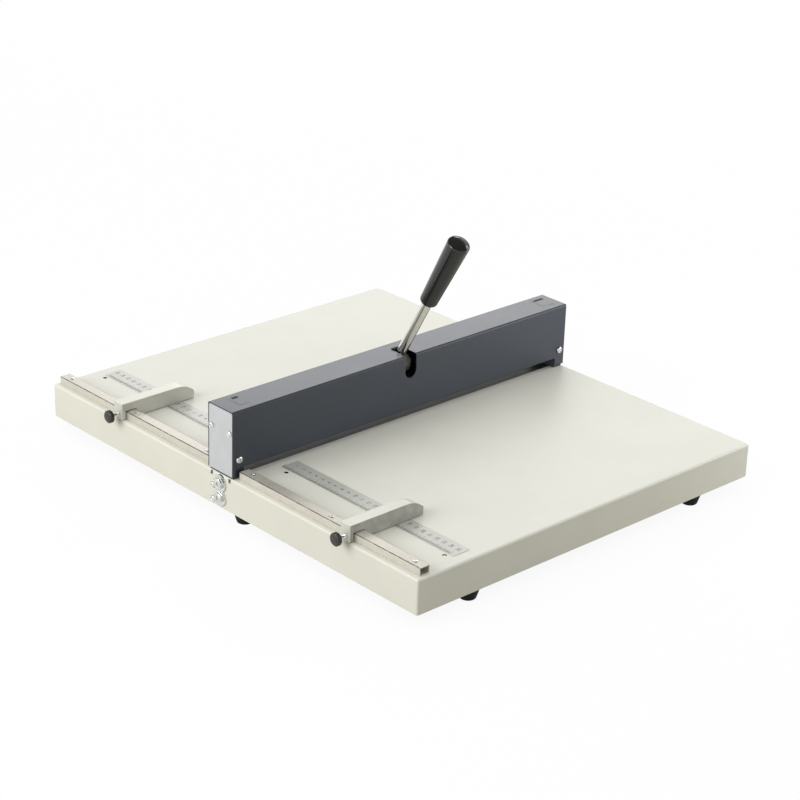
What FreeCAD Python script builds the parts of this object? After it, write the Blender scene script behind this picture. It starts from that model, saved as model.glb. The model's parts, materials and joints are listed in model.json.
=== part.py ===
import FreeCAD, Part
import math
import os

# Desktop paper creasing machine, millimetres.
# X points to the operator's right, Y away from the operator, Z up. The origin lies on the
# surface that the feet stand on, below the middle of the table.

# ---- Fits and clearances ----------------------------------------------------------------
seat_gap = 0.05         # between fixed pieces that sit in each other
slide_gap = 0.25        # on each face of a flat guide
turning_gap = 0.06      # radial, between a shaft and its bush
air_gap = 0.3           # between pieces that pass or meet without touching

# ---- Table tray -------------------------------------------------------------------------
table_width = 486.0
table_depth = 594.0
tray_height = 38.0
tray_sheet = 1.5
tray_bend = 2.5         # outside radius of the folded edges
lip_width = 28.0        # return lip under the skirts
mitre_gap = 1.0         # slit between two lips in a corner
locating_slot_width = 3.6
locating_slot_height = 4.6
locating_slot_y = 14.5
locating_slot_drop = 3.3

# ---- Stiffeners under the table ---------------------------------------------------------
stiffener_sheet = 1.5
stiffener_depth = 10.0
stiffener_crown = 28.0
stiffener_flange = 12.0
stiffener_flare = 3.0   # how far each side leans out

# ---- Feet -------------------------------------------------------------------------------
foot_height = 12.0
foot_top_radius = 12.0
foot_base_radius = 8.5
foot_edge_radius = 0.8
foot_corner_side_inset = 79.0
foot_corner_inset = 12.0
foot_side_inset = 14.0
foot_side_gap = 4.0     # front face of an upright to the middle of a side foot
foot_recess_radius = 5.0
foot_recess_height = 6.5
foot_screw_in_bed = 11.0
foot_screw_wall = 3.5       # bed material around a foot screw's hole

# ---- Bridge cover -----------------------------------------------------------------------
bridge_depth = 40.0
bridge_height = 75.0
cover_sheet = 1.2
cover_bend = 2.0
paper_window = 12.0     # table to the cover's lower edge
cover_leg_width = 14.0
cover_leg_lift = 2.5    # table to the foot of a leg
cover_leg_radius = 2.0
end_plate_sheet = 1.5
end_plate_gap = 0.2

# ---- Lever slot and bumper --------------------------------------------------------------
lever_x = 2.0
slot_width = 16.0
slot_drop = 26.5        # cover top to the slot's rounded end
slot_mouth = 4.0         # run of full width behind the cover's front
slot_throat_gap = 1.5    # from the rod's left side to the narrower throat behind it
slot_corner_radius = 0.6
bumper_wall = 1.1       # rubber before the slot's rear edge
bumper_width = 12.6
bumper_grip = 2.6       # how far it reaches over and under the sheet
bumper_upper_lip = 0.9
bumper_lower_lip = 1.6

# ---- Uprights ---------------------------------------------------------------------------
upright_thickness = 12.0
upright_headroom = 5.8  # top of an upright to the cover's sheet
upright_chamfer = 4.0
guide_width = 12.6
guide_depth = 9.0
guide_floor = 2.0       # above the table
guide_headroom = 1.0    # over the resting bar's tongue
guide_corner_radius = 1.0

# ---- Bed casting and die ----------------------------------------------------------------
bed_width = 44.0
bed_flange = 9.0
bed_web = 7.0
bed_draft = 1.0
bed_end_block = 26.0
bed_rib = 6.0
bed_bays = 8
die_thickness = 4.5
die_width = 23.6
crease_gap = 1.4
die_chamfer = 0.3
die_screw_inset = 49.2  # end of a strip to its first screw
die_screws_per_strip = 4

# ---- Camshaft and lever -----------------------------------------------------------------
shaft_drop = 18.5       # cover top to the shaft's axis
shaft_radius = 6.0
shaft_end_gap = 0.6
shaft_chamfer = 1.0
shaft_flat = 0.8
bush_wall = 1.0
bush_flange = 1.5
bush_flange_radius = 9.5
collar_width = 8.0
collar_radius = 10.5
lever_rest_tilt = 29.0  # degrees from vertical, towards the operator
lever_swing = 60.0      # degrees from rest to fully pressed
cam_base_radius = 5.5   # press travel per radian of lever
cam_rest_depth = 9.0    # shaft axis to the line where the cam presses, at rest
cam_boss_radius = 8.5
cam_width = 8.0
cam_boss_width = 8.0
cam_inset = 75.2        # upright to the middle of a cam
cam_overrun = 0.06      # radians of involute past full press
cam_tip_radius = 0.8
hub_radius = 11.0
hub_length = 28.0
hub_boss_radius = 7.5
hub_boss_reach = 13.2
hub_pin_radius = 2.0
hub_pin_offset = 10.5
rod_pin_radius = 1.5
rod_pin_rise = 2.9      # rod pin beyond the shaft's surface
rod_radius = 5.5
rod_root_gap = 0.4
rod_end = 178.0
rod_chamfer = 0.8
grip_start = 98.6
grip_shoulder = 185.3
grip_end = 189.8
grip_bottom_radius = 9.9
grip_top_radius = 12.5
grip_edge_radius = 3.4
grip_crown_height = 1.8
grip_crown_radius = 9.8
set_screw_radius = 2.0
set_screw_recess = 0.3

# ---- Press bar and crease blade ---------------------------------------------------------
bar_depth = 22.0
bar_bottom = 14.0       # above the table, at rest
blade_thickness = 1.4
crease_depth = 0.66     # tip below the table, fully pressed
blade_tip_width = 0.7
blade_taper = 3.0
blade_top_share = 0.35  # of the bar's height, above the blade
blade_end_gap = 2.5
clamp_thickness = 8.0
clamp_screw_count = 6
clamp_screw_radius = 2.5
clamp_screw_head_radius = 4.25
clamp_screw_head = 3.5
pad_thickness = 4.0
pad_length = 18.0
pad_depth = 20.0
pad_chamfer = 0.5
pad_screw_y = 5.0
pad_screw_spread = 5.0
tongue_height = 13.2
spring_wire_width = 1.2
spring_wire_height = 1.0
spring_radius = 3.5     # middle of the wire
spring_turns = 7

# ---- Side screws and bolts --------------------------------------------------------------
side_bolt_radius = 4.0
side_bolt_drop = 10.0       # table to the upper bolt
side_bolt_rise = 12.0       # tray's lower edge to the lower bolt
side_bolt_length = 34.0
bolt_head_flats = 13.0
bolt_head_height = 5.3
washer_radius = 9.5
washer_thickness = 1.6
bracket_screw_inset = 6.3   # rear face of an upright to the screws
bracket_screw_drop = 16.0
bracket_screw_rise = 6.0
bracket_screw_length = 10.0
small_screw_radius = 2.0
small_head_radius = 3.5
small_head_height = 2.2
end_plate_screw_inset = 3.85    # front or rear face of an upright to a screw
end_plate_screw_drop = 24.5
end_plate_screw_length = 9.0
cover_screw_inset = 8.0
cover_screw_height = 21.0
cover_screw_length = 9.0
cover_head_radius = 4.0
cover_head_height = 2.4

# ---- Rails, rulers and locating holes ---------------------------------------------------
rail_inset = 12.5       # table's left edge to the rail's middle
rail_width = 13.0
rail_height = 9.0
rail_wall = 1.0
rail_bridge_gap = 3.5   # cover to the rail's end
rail_end_inset = 5.0
rail_screw_inner_inset = 14.5
rail_screw_outer_inset = 13.0
rail_screw_radius = 1.5
rail_screw_head_radius = 2.8
rail_screw_head = 0.7
rail_screw_reach = 5.5
nut_flats = 5.5
nut_height = 2.4
ruler_inset = 70.0      # table's left edge to the rule's middle
ruler_width = 22.0
ruler_thickness = 0.6
ruler_bridge_gap = 6.5
ruler_end_inset = 14.0
ruler_corner_radius = 1.5
locating_hole_inset = 54.5
locating_hole_bridge_gap = 19.5
locating_hole_end_inset = 21.5
locating_hole_radius = 2.4

# ---- Side stops -------------------------------------------------------------------------
front_stop_inset = 104.0    # table's front edge to the stop's middle
rear_stop_inset = 121.0
stop_thickness = 14.0
stop_height = 18.8
stop_length = 98.0
stop_leg = 4.8
stop_overhang = 0.3     # clamp leg past the table's side
stop_clearance = 1.0    # above the table
rail_side_gap = 1.5     # clamp leg to rail
rail_top_gap = 1.2
rail_flank_gap = 0.3    # rail corner to the sloping flank
nose_length = 23.0
nose_height = 9.0
stop_edge_radius = 1.0
core_wall = 3.0
core_rib = 3.0
core_bays = 3
clamp_axis_height = 5.8
clamp_rod_radius = 2.0
knob_radius = 7.0
knob_length = 5.8
knob_stand_off = 9.0    # knob to the stop's leg
knob_flutes = 12
knob_flute_radius = 1.4
knob_flute_depth = 0.6
knob_dome = 1.6

# ---- Levels and positions worked out from the above -------------------------------------
tray_bottom = foot_height
table_top = foot_height + tray_height
under_table = table_top - tray_sheet
lip_top = tray_bottom + tray_sheet
half_width = table_width / 2
half_depth = table_depth / 2
half_bridge = bridge_depth / 2
skirt_inside = half_width - tray_sheet
cover_inside = half_bridge - cover_sheet
cover_top = table_top + bridge_height
foot_corner_x = half_width - foot_corner_side_inset
foot_corner_y = half_depth - foot_corner_inset
foot_side_x = half_width - foot_side_inset
upright_outside = skirt_inside - air_gap
upright_inside = upright_outside - upright_thickness
upright_half = cover_inside - air_gap
foot_side_y = -upright_half - foot_side_gap
bed_end_half = small_screw_radius + foot_screw_wall - foot_side_y
upright_top = cover_top - cover_sheet - upright_headroom
side_bolt_zs = (table_top - side_bolt_drop, tray_bottom + side_bolt_rise)
bracket_screw_zs = (table_top - bracket_screw_drop, tray_bottom + bracket_screw_rise)
bracket_screw_y = upright_half - bracket_screw_inset
end_plate_screw_y = upright_half - end_plate_screw_inset
end_plate_screw_z = cover_top - end_plate_screw_drop
shaft_y = cam_base_radius    # puts the cams' line of contact over the middle of the bar
shaft_z = cover_top - shaft_drop
cam_x = upright_inside - cam_inset
rod_pin_reach = shaft_radius + rod_pin_rise
pad_top = shaft_z - cam_rest_depth - air_gap
bar_top = pad_top - pad_thickness
bar_low = table_top + bar_bottom
bar_end = upright_inside - 2 * slide_gap
guide_bottom = upright_inside + guide_depth
guide_top = bar_top + guide_headroom
tongue_low = bar_top - tongue_height
cam_rest_roll = cam_rest_depth / cam_base_radius
cam_full_roll = cam_rest_roll + math.radians(lever_swing)
rest_tilt = math.radians(lever_rest_tilt)
rod_half_depth = (rod_radius + air_gap) / math.cos(rest_tilt)
slot_rear = shaft_y - shaft_drop * math.tan(rest_tilt) + rod_half_depth + bumper_wall
blade_tip = table_top - crease_depth + cam_base_radius * math.radians(lever_swing)
blade_top = bar_top - blade_top_share * (bar_top - bar_low)
clamp_back = -blade_thickness / 2
clamp_front = clamp_back - clamp_thickness
clamp_top = blade_top - seat_gap
clamp_screw_z = (bar_low + blade_top) / 2
rail_x = rail_inset - half_width
rail_left = rail_x - rail_width / 2
rail_right = rail_x + rail_width / 2
rail_top = table_top + rail_height
rail_inner_end = half_bridge + rail_bridge_gap
rail_outer_end = half_depth - rail_end_inset
rail_screw_first = rail_inner_end + rail_screw_inner_inset
rail_screw_last = rail_outer_end - rail_screw_outer_inset
rail_screw_middle = (rail_screw_first + rail_screw_last) / 2
rail_screw_ys = (rail_screw_first, rail_screw_middle, rail_screw_last)
stiffener_y = (rail_screw_first + rail_screw_middle) / 2
ruler_x = ruler_inset - half_width
ruler_inner_end = half_bridge + ruler_bridge_gap
ruler_outer_end = half_depth - ruler_end_inset
locating_hole_x = locating_hole_inset - half_width
locating_hole_ys = (half_bridge + locating_hole_bridge_gap, half_depth - locating_hole_end_inset)
stop_left = -half_width - stop_overhang
front_stop_y = front_stop_inset - half_depth
rear_stop_y = half_depth - rear_stop_inset


# ---- Shape helpers ----------------------------------------------------------------------
def vec(x, y, z):
    return FreeCAD.Vector(x, y, z)


def block(x0, x1, y0, y1, z0, z1):
    """Rectangular block between two corners."""
    return Part.makeBox(x1 - x0, y1 - y0, z1 - z0, vec(x0, y0, z0))


def cylinder(radius, start, end):
    """Round bar from one point to another."""
    return Part.makeCylinder(radius, (end - start).Length, start, end - start)


def along_x(radius, x0, x1, y, z):
    return cylinder(radius, vec(x0, y, z), vec(x1, y, z))


def along_y(radius, y0, y1, x, z):
    return cylinder(radius, vec(x, y0, z), vec(x, y1, z))


def along_z(radius, z0, z1, x, y):
    return cylinder(radius, vec(x, y, z0), vec(x, y, z1))


def closed_face(points):
    """Flat face inside a closed run of straight edges."""
    return Part.Face(Part.makePolygon(points + points[:1]))


def prism_x(outline, x0, x1):
    """Bar along X with an outline of (y, z) points."""
    face = closed_face([vec(x0, y, z) for y, z in outline])
    return face.extrude(vec(x1 - x0, 0, 0))


def turned(outline, base, direction):
    """Solid of revolution: (radius, height) points about a line through base."""
    face = closed_face([vec(radius, 0, height) for radius, height in outline])
    shape = face.revolve(vec(0, 0, 0), vec(0, 0, 1), 360)
    shape.Placement = FreeCAD.Placement(base, FreeCAD.Rotation(vec(0, 0, 1), direction))
    return shape


def hexagon(flats, height, base, direction):
    """Hexagonal prism across the given flats, from base along direction."""
    radius = flats / math.sqrt(3)
    corners = [
        vec(radius * math.cos(turn), radius * math.sin(turn), 0)
        for turn in (math.radians(60 * corner) for corner in range(6))
    ]
    shape = closed_face(corners).extrude(vec(0, 0, height))
    shape.Placement = FreeCAD.Placement(base, FreeCAD.Rotation(vec(0, 0, 1), direction))
    return shape


def arc_middle(start, end, tangent):
    """Middle of the arc that leaves start along a tangent line and reaches end."""
    chord = end - start
    along = tangent * chord.dot(tangent) / tangent.dot(tangent)
    across = chord - along
    drop = across.Length
    radius = chord.dot(chord) / (2 * drop)
    centre = start + across * (radius / drop)
    halfway = (start + end) * 0.5 - centre
    return centre + halfway * (radius / halfway.Length)


def edges_where(shape, test):
    """Edges whose every vertex passes a test."""
    return [edge for edge in shape.Edges if all(test(vertex.Point) for vertex in edge.Vertexes)]


def edges_along(shape, axis):
    """Straight edges parallel to an axis given as 0, 1 or 2."""
    found = []
    for edge in shape.Edges:
        ends = [vertex.Point for vertex in edge.Vertexes]
        if len(ends) == 2 and isinstance(edge.Curve, Part.Line):
            run = ends[1] - ends[0]
            if abs(abs(run[axis]) - run.Length) < 1e-6:
                found.append(edge)
    return found


def mirrored(shape):
    """The same piece on the other side of the machine."""
    return shape.mirror(vec(0, 0, 0), vec(1, 0, 0))


def both_sides(shape):
    return Part.makeCompound([shape, mirrored(shape)])


def evenly(count, span):
    """Centred positions, count of them over a span."""
    return [span * (index / (count - 1) - 0.5) for index in range(count)]


def round_head_screw(head_radius, head_height, radius, length, seat, outward):
    """Screw with a low domed head; seat is where the head meets its piece."""
    outline = [
        (0, -length),
        (radius, -length),
        (radius, 0),
        (head_radius, 0),
        (head_radius, 0.45 * head_height),
        (0.72 * head_radius, head_height),
        (0, head_height),
    ]
    return turned(outline, seat, outward)


def flat_head_screw(radius, length, top, outward):
    """Countersunk screw whose flat head ends at top."""
    head_radius = 1.9 * radius
    outline = [
        (0, -length),
        (radius, -length),
        (radius, radius - head_radius),
        (head_radius, 0),
        (0, 0),
    ]
    return turned(outline, top, outward)


def flat_head_hole(radius, length, top, outward):
    """Hole for a countersunk screw, with its clearance."""
    return flat_head_screw(radius + seat_gap, length + seat_gap, top, outward)


# ---- Table ------------------------------------------------------------------------------
def foot_places():
    """Centres of the six feet in plan."""
    corners = [(x, y) for y in (-foot_corner_y, foot_corner_y)
               for x in (-foot_corner_x, foot_corner_x)]
    return corners + [(x, foot_side_y) for x in (-foot_side_x, foot_side_x)]


def rail_screw_places():
    return [(rail_x, side * y) for side in (-1, 1) for y in rail_screw_ys]


def folded_tray():
    """Tray skin: top, four skirts and return lips of one sheet."""
    outside = block(-half_width, half_width, -half_depth, half_depth, tray_bottom, table_top)
    bends = edges_along(outside, 2) + edges_where(outside, lambda point: point.z > under_table)
    outside = outside.makeFillet(tray_bend, bends)
    inner_x, inner_y = half_width - tray_sheet, half_depth - tray_sheet
    inside = block(-inner_x, inner_x, -inner_y, inner_y, lip_top, under_table)
    bends = edges_along(inside, 2) + edges_where(inside, lambda point: point.z > lip_top + 1)
    inside = inside.makeFillet(tray_bend - tray_sheet, bends)
    open_x, open_y = half_width - lip_width, half_depth - lip_width
    opening = block(-open_x, open_x, -open_y, open_y, tray_bottom - 1, lip_top + 1)
    return outside.cut([inside, opening])


def lip_mitres():
    """Slits that part the return lips at the tray's corners."""
    reach = lip_width * math.sqrt(2)
    slits = []
    for side_x in (-1, 1):
        for side_y in (-1, 1):
            slit = block(-reach, 0, -mitre_gap / 2, mitre_gap / 2, tray_bottom - 1, lip_top)
            corner = vec(side_x * (half_width - tray_bend), side_y * (half_depth - tray_bend), 0)
            turn = FreeCAD.Rotation(vec(1, 0, 0), vec(side_x, side_y, 0))
            slit.Placement = FreeCAD.Placement(corner, turn)
            slits.append(slit)
    return slits


def tray_openings():
    """Bed window, upright wells and every hole through the tray."""
    window_half = die_width / 2 + air_gap
    well_half = upright_half + air_gap
    cuts = [block(-upright_inside, upright_inside, -window_half, window_half, lip_top, cover_top)]
    for side in (-1, 1):
        near, far = sorted((side * (upright_inside - air_gap), side * skirt_inside))
        cuts.append(block(near, far, -well_half, well_half, lip_top, cover_top))
        skirt = sorted((side * (skirt_inside - 1), side * (half_width + 1)))
        for level in side_bolt_zs:
            cuts.append(along_x(side_bolt_radius + air_gap, *skirt, 0, level))
        for level in bracket_screw_zs:
            cuts.append(along_x(small_screw_radius + air_gap, *skirt, bracket_screw_y, level))
        slot_z = table_top - locating_slot_drop
        for y in (-locating_slot_y, locating_slot_y):
            half, rise = locating_slot_width / 2, locating_slot_height / 2
            cuts.append(block(*skirt, y - half, y + half, slot_z - rise, slot_z + rise))
    for x, y in rail_screw_places():
        cuts.append(along_z(rail_screw_radius + air_gap, under_table - 1, table_top + 1, x, y))
    for side in (-1, 1):
        for y in locating_hole_ys:
            hole = along_z(locating_hole_radius, under_table - 1, table_top + 1,
                           locating_hole_x, side * y)
            cuts.append(hole)
    for x, y in foot_places():
        cuts.append(along_z(small_screw_radius + air_gap, tray_bottom - 1, lip_top + 1, x, y))
    return cuts


def table_tray():
    return folded_tray().cut(tray_openings() + lip_mitres())


def stiffener(y):
    """Hat-section channel spot-welded under the table."""
    half = stiffener_crown / 2
    foot = half + stiffener_flare
    edge = foot + stiffener_flange
    sheet = stiffener_sheet
    low = under_table - stiffener_depth
    outline = [
        (y - edge, under_table),
        (y - foot + sheet, under_table),
        (y - half + sheet, low + sheet),
        (y + half - sheet, low + sheet),
        (y + foot - sheet, under_table),
        (y + edge, under_table),
        (y + edge, under_table - sheet),
        (y + foot, under_table - sheet),
        (y + half, low),
        (y - half, low),
        (y - foot, under_table - sheet),
        (y - edge, under_table - sheet),
    ]
    reach = half_width - tray_bend - air_gap
    return prism_x(outline, -reach, reach)


def foot(x, y):
    """Tapered rubber foot with a recess for its screw."""
    outline = [
        (small_screw_radius + air_gap, foot_height),
        (small_screw_radius + air_gap, foot_recess_height),
        (foot_recess_radius, foot_recess_height),
        (foot_recess_radius, 0),
        (foot_base_radius - foot_edge_radius, 0),
        (foot_base_radius, foot_edge_radius),
        (foot_top_radius, foot_height),
    ]
    return turned(outline, vec(x, y, 0), vec(0, 0, 1))


def foot_screws():
    """Screws that hold the feet: nuts above the lips, or straight into the bed."""
    screws = []
    for x, y in foot_places():
        in_lip = abs(y) > half_depth - lip_width
        length = tray_sheet + nut_height + 1 if in_lip else foot_screw_in_bed
        seat = vec(x, y, foot_recess_height)
        reach = foot_height - foot_recess_height + length
        screw = round_head_screw(small_head_radius, small_head_height, small_screw_radius,
                                 reach, seat, vec(0, 0, -1))
        screws.append(screw)
    return Part.makeCompound(screws)


def foot_nuts():
    nuts = []
    for x, y in foot_places():
        if abs(y) > half_depth - lip_width:
            nut = hexagon(1.3 * nut_flats, nut_height, vec(x, y, lip_top), vec(0, 0, 1))
            bore = along_z(small_screw_radius + seat_gap, lip_top - 1, lip_top + 2 * nut_height, x, y)
            nuts.append(nut.cut(bore))
    return Part.makeCompound(nuts)


# ---- Bed and die ------------------------------------------------------------------------
def die_screw_places():
    """X of the die screws, and the middle of the front and rear strips."""
    span = 2 * (upright_inside - die_screw_inset)
    strip_y = (die_width + crease_gap) / 4
    return evenly(die_screws_per_strip, span), strip_y


def bed_casting():
    """Iron bed: a flange with two webs, ribs between them and ears beside the uprights."""
    half, inner = bed_width / 2, bed_width / 2 - bed_web
    flange_bottom = under_table - bed_flange
    groove_half = die_width / 2 + seat_gap
    groove_floor = table_top - die_thickness
    outline = [
        (-half, under_table),
        (-groove_half, under_table),
        (-groove_half, groove_floor),
        (groove_half, groove_floor),
        (groove_half, under_table),
        (half, under_table),
        (half, lip_top),
        (inner, lip_top),
        (inner - bed_draft, flange_bottom),
        (bed_draft - inner, flange_bottom),
        (-inner, lip_top),
        (-half, lip_top),
    ]
    casting = prism_x(outline, -upright_inside, upright_inside)
    span = 2 * (upright_inside - bed_end_block)
    pieces = []
    for side in (-1, 1):
        near, far = sorted((side * upright_inside, side * span / 2))
        pieces.append(block(near, far, -inner, inner, lip_top, flange_bottom))
        ears = ((upright_inside, inner), (upright_outside, upright_half + air_gap))
        for end_x, start_y in ears:
            near, far = sorted((side * end_x, side * span / 2))
            for edge in (-1, 1):
                front, rear = sorted((edge * start_y, edge * bed_end_half))
                pieces.append(block(near, far, front, rear, lip_top, under_table - tray_bend))
    pitch = span / bed_bays
    for x in evenly(bed_bays - 1, pitch * (bed_bays - 2)):
        rib = block(x - bed_rib / 2, x + bed_rib / 2, -inner, inner, lip_top + 4, flange_bottom)
        pieces.append(rib)
    casting = casting.fuse(pieces).removeSplitter()
    holes = []
    for side in (-1, 1):
        near, far = sorted((side * (upright_inside + 1), side * (upright_inside - bed_end_block + 4)))
        for level in side_bolt_zs:
            holes.append(along_x(side_bolt_radius + seat_gap, near, far, 0, level))
        holes.append(along_z(small_screw_radius + seat_gap, lip_top - 1,
                             tray_bottom + foot_screw_in_bed + 1, side * foot_side_x,
                             foot_side_y))
    xs, strip_y = die_screw_places()
    for x in xs:
        for y in (-strip_y, strip_y):
            holes.append(along_z(small_screw_radius + seat_gap, flange_bottom - 1, table_top, x, y))
    return casting.cut(holes)


def die_strip(side):
    """Steel strip, flush with the table, on one side of the crease channel."""
    near, far = side * crease_gap / 2, side * die_width / 2
    floor = table_top - die_thickness
    outline = [
        (near, floor),
        (near, table_top - die_chamfer),
        (near + side * die_chamfer, table_top),
        (far, table_top),
        (far, floor),
    ]
    reach = upright_inside - seat_gap
    xs, strip_y = die_screw_places()
    holes = [
        flat_head_hole(small_screw_radius, die_thickness, vec(x, side * strip_y, table_top),
                       vec(0, 0, 1))
        for x in xs
    ]
    return prism_x(outline, -reach, reach).cut(holes)


def die_screws():
    xs, strip_y = die_screw_places()
    length = die_thickness + bed_flange - 2
    screws = [
        flat_head_screw(small_screw_radius, length, vec(x, y, table_top), vec(0, 0, 1))
        for x in xs
        for y in (-strip_y, strip_y)
    ]
    return Part.makeCompound(screws)


# ---- Uprights and their fasteners -------------------------------------------------------
def upright():
    """Left upright: bearing plate with the milled pocket that guides the press bar."""
    plate = block(-upright_outside, -upright_inside, -upright_half, upright_half,
                  lip_top, upright_top)
    plate = plate.makeChamfer(upright_chamfer, edges_top_x(plate))
    pocket = block(-guide_bottom, -upright_inside + 1, -guide_width / 2, guide_width / 2,
                   table_top + guide_floor, guide_top)
    pocket = pocket.makeFillet(guide_corner_radius, edges_along(pocket, 0))
    holes = [pocket, along_x(shaft_radius + turning_gap + bush_wall + seat_gap / 2,
                             -half_width, 0, shaft_y, shaft_z)]
    for level in side_bolt_zs:
        holes.append(along_x(side_bolt_radius + air_gap, -half_width, 0, 0, level))
    for level in bracket_screw_zs:
        deep = -half_width + bracket_screw_length + 1
        holes.append(along_x(small_screw_radius + seat_gap, -half_width, deep,
                             bracket_screw_y, level))
    for y in (-end_plate_screw_y, end_plate_screw_y):
        deep = -half_width + end_plate_screw_length + 1
        holes.append(along_x(small_screw_radius + seat_gap, -half_width, deep,
                             y, end_plate_screw_z))
    x, z = -half_width + cover_screw_inset, table_top + cover_screw_height
    for side in (-1, 1):
        deep = side * (half_bridge - cover_screw_length - 1)
        near, far = sorted((side * half_bridge, deep))
        holes.append(along_y(small_screw_radius + seat_gap, near, far, x, z))
    return plate.cut(holes)


def edges_top_x(plate):
    """Edges along X at the top of a plate."""
    top = plate.BoundBox.ZMax
    return [edge for edge in edges_along(plate, 0) if edge.Vertexes[0].Point.z > top - 1e-6]


def shaft_bush():
    """Left flanged bush, pressed into the upright from inside."""
    inner, outer = shaft_radius + turning_gap, shaft_radius + turning_gap + bush_wall
    outline = [
        (inner, -bush_flange),
        (bush_flange_radius, -bush_flange),
        (bush_flange_radius, 0),
        (outer, 0),
        (outer, upright_thickness),
        (inner, upright_thickness),
    ]
    return turned(outline, vec(-upright_inside, shaft_y, shaft_z), vec(-1, 0, 0))


def side_bolts():
    """Hexagon bolts that clamp tray, upright and bed together, both sides."""
    bolts = []
    for level in side_bolt_zs:
        seat = vec(-half_width - washer_thickness, 0, level)
        head = hexagon(bolt_head_flats, bolt_head_height, seat, vec(-1, 0, 0))
        rounding = turned(
            [(0, 0), (0.58 * bolt_head_flats, 0), (0.58 * bolt_head_flats, 0.8 * bolt_head_height),
             (0.47 * bolt_head_flats, bolt_head_height), (0, bolt_head_height)],
            seat, vec(-1, 0, 0))
        shank = cylinder(side_bolt_radius, seat, seat + vec(side_bolt_length, 0, 0))
        bolts.append(head.common(rounding).fuse(shank).removeSplitter())
    return both_sides(Part.makeCompound(bolts))


def side_washers():
    washers = []
    for level in side_bolt_zs:
        seat = vec(-half_width, 0, level)
        outline = [
            (side_bolt_radius + seat_gap, 0),
            (washer_radius, 0),
            (washer_radius, washer_thickness),
            (side_bolt_radius + seat_gap, washer_thickness),
        ]
        washers.append(turned(outline, seat, vec(-1, 0, 0)))
    # The two washers are trimmed where they meet, so that they lie flat side by side.
    middle = sum(side_bolt_zs) / 2
    trimmed = []
    for washer, side in zip(washers, (1, -1)):
        low, high = sorted((middle + side * seat_gap, middle + side * 2 * washer_radius))
        keep = block(-half_width - 2 * washer_thickness, 0, -washer_radius, washer_radius, low, high)
        trimmed.append(washer.common(keep))
    return both_sides(Part.makeCompound(trimmed))


def bracket_screws():
    screws = [
        round_head_screw(small_head_radius, small_head_height, small_screw_radius,
                         bracket_screw_length, vec(-half_width, bracket_screw_y, level),
                         vec(-1, 0, 0))
        for level in bracket_screw_zs
    ]
    return both_sides(Part.makeCompound(screws))


# ---- Bridge cover -----------------------------------------------------------------------
def slot_cutter():
    """Lever slot: down the cover's front with a round end, and back along its top to a throat."""
    half = slot_width / 2
    x0, x1 = lever_x - half, lever_x + half
    end_z = cover_top - slot_drop + half
    front = block(x0, x1, -half_bridge - 1, -cover_inside + 1, end_z, cover_top + 1)
    round_end = along_y(half, -half_bridge - 1, -cover_inside + 1, lever_x, end_z)
    low, high = cover_top - 2 * cover_bend, cover_top + 1
    mouth = block(x0, x1, -half_bridge - 1, slot_mouth - half_bridge, low, high)
    throat_left = lever_x - rod_radius - slot_throat_gap
    throat = block(throat_left, x1, -half_bridge - 1, slot_rear, low, high)
    rear_edges = [edge for edge in edges_along(throat, 2)
                  if edge.Vertexes[0].Point.y > slot_rear - 1e-6]
    return [front, round_end, mouth, throat.makeFillet(slot_corner_radius, rear_edges)]


def cover():
    """Folded channel over the mechanism, with a leg at each end of both flanges."""
    low = table_top + cover_leg_lift
    outside = block(-half_width, half_width, -half_bridge, half_bridge, low, cover_top)
    top_edges = [edge for edge in edges_along(outside, 0)
                 if edge.Vertexes[0].Point.z > cover_top - 1e-6]
    outside = outside.makeFillet(cover_bend, top_edges)
    inside = block(-half_width - 1, half_width + 1, -cover_inside, cover_inside,
                   low - 1, cover_top - cover_sheet)
    top_edges = [edge for edge in edges_along(inside, 0)
                 if edge.Vertexes[0].Point.z > cover_top - cover_sheet - 1e-6]
    inside = inside.makeFillet(cover_bend - cover_sheet, top_edges)
    leg_x = half_width - cover_leg_width
    window = block(-leg_x, leg_x, -half_bridge - 1, half_bridge + 1,
                   low - 1, table_top + paper_window)
    upper = [edge for edge in edges_along(window, 1)
             if edge.Vertexes[0].Point.z > table_top + paper_window - 1e-6]
    window = window.makeFillet(cover_leg_radius, upper)
    holes = [inside, window] + slot_cutter()
    for x in (-half_width + cover_screw_inset, half_width - cover_screw_inset):
        holes.append(along_y(small_screw_radius + seat_gap, -half_bridge - 1, half_bridge + 1,
                             x, table_top + cover_screw_height))
    return outside.cut(holes)


def end_plate():
    """Left end plate, set inside the end of the cover."""
    half = cover_inside - end_plate_gap
    plate = block(-half_width, end_plate_sheet - half_width, -half, half,
                  table_top + cover_leg_lift, cover_top - cover_sheet - end_plate_gap)
    plate = plate.makeFillet(cover_bend, edges_top_x(plate))
    holes = [
        along_x(small_screw_radius + seat_gap, -half_width - 1, 0, y, end_plate_screw_z)
        for y in (-end_plate_screw_y, end_plate_screw_y)
    ]
    return plate.cut(holes)


def end_plate_screws():
    screws = [
        round_head_screw(small_head_radius, small_head_height, small_screw_radius,
                         end_plate_screw_length, vec(-half_width, y, end_plate_screw_z),
                         vec(-1, 0, 0))
        for y in (-end_plate_screw_y, end_plate_screw_y)
    ]
    return both_sides(Part.makeCompound(screws))


def cover_screws():
    x, z = -half_width + cover_screw_inset, table_top + cover_screw_height
    screws = [
        round_head_screw(cover_head_radius, cover_head_height, small_screw_radius,
                         cover_screw_length, vec(x, side * half_bridge, z), vec(0, side, 0))
        for side in (-1, 1)
    ]
    return both_sides(Part.makeCompound(screws))


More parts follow.
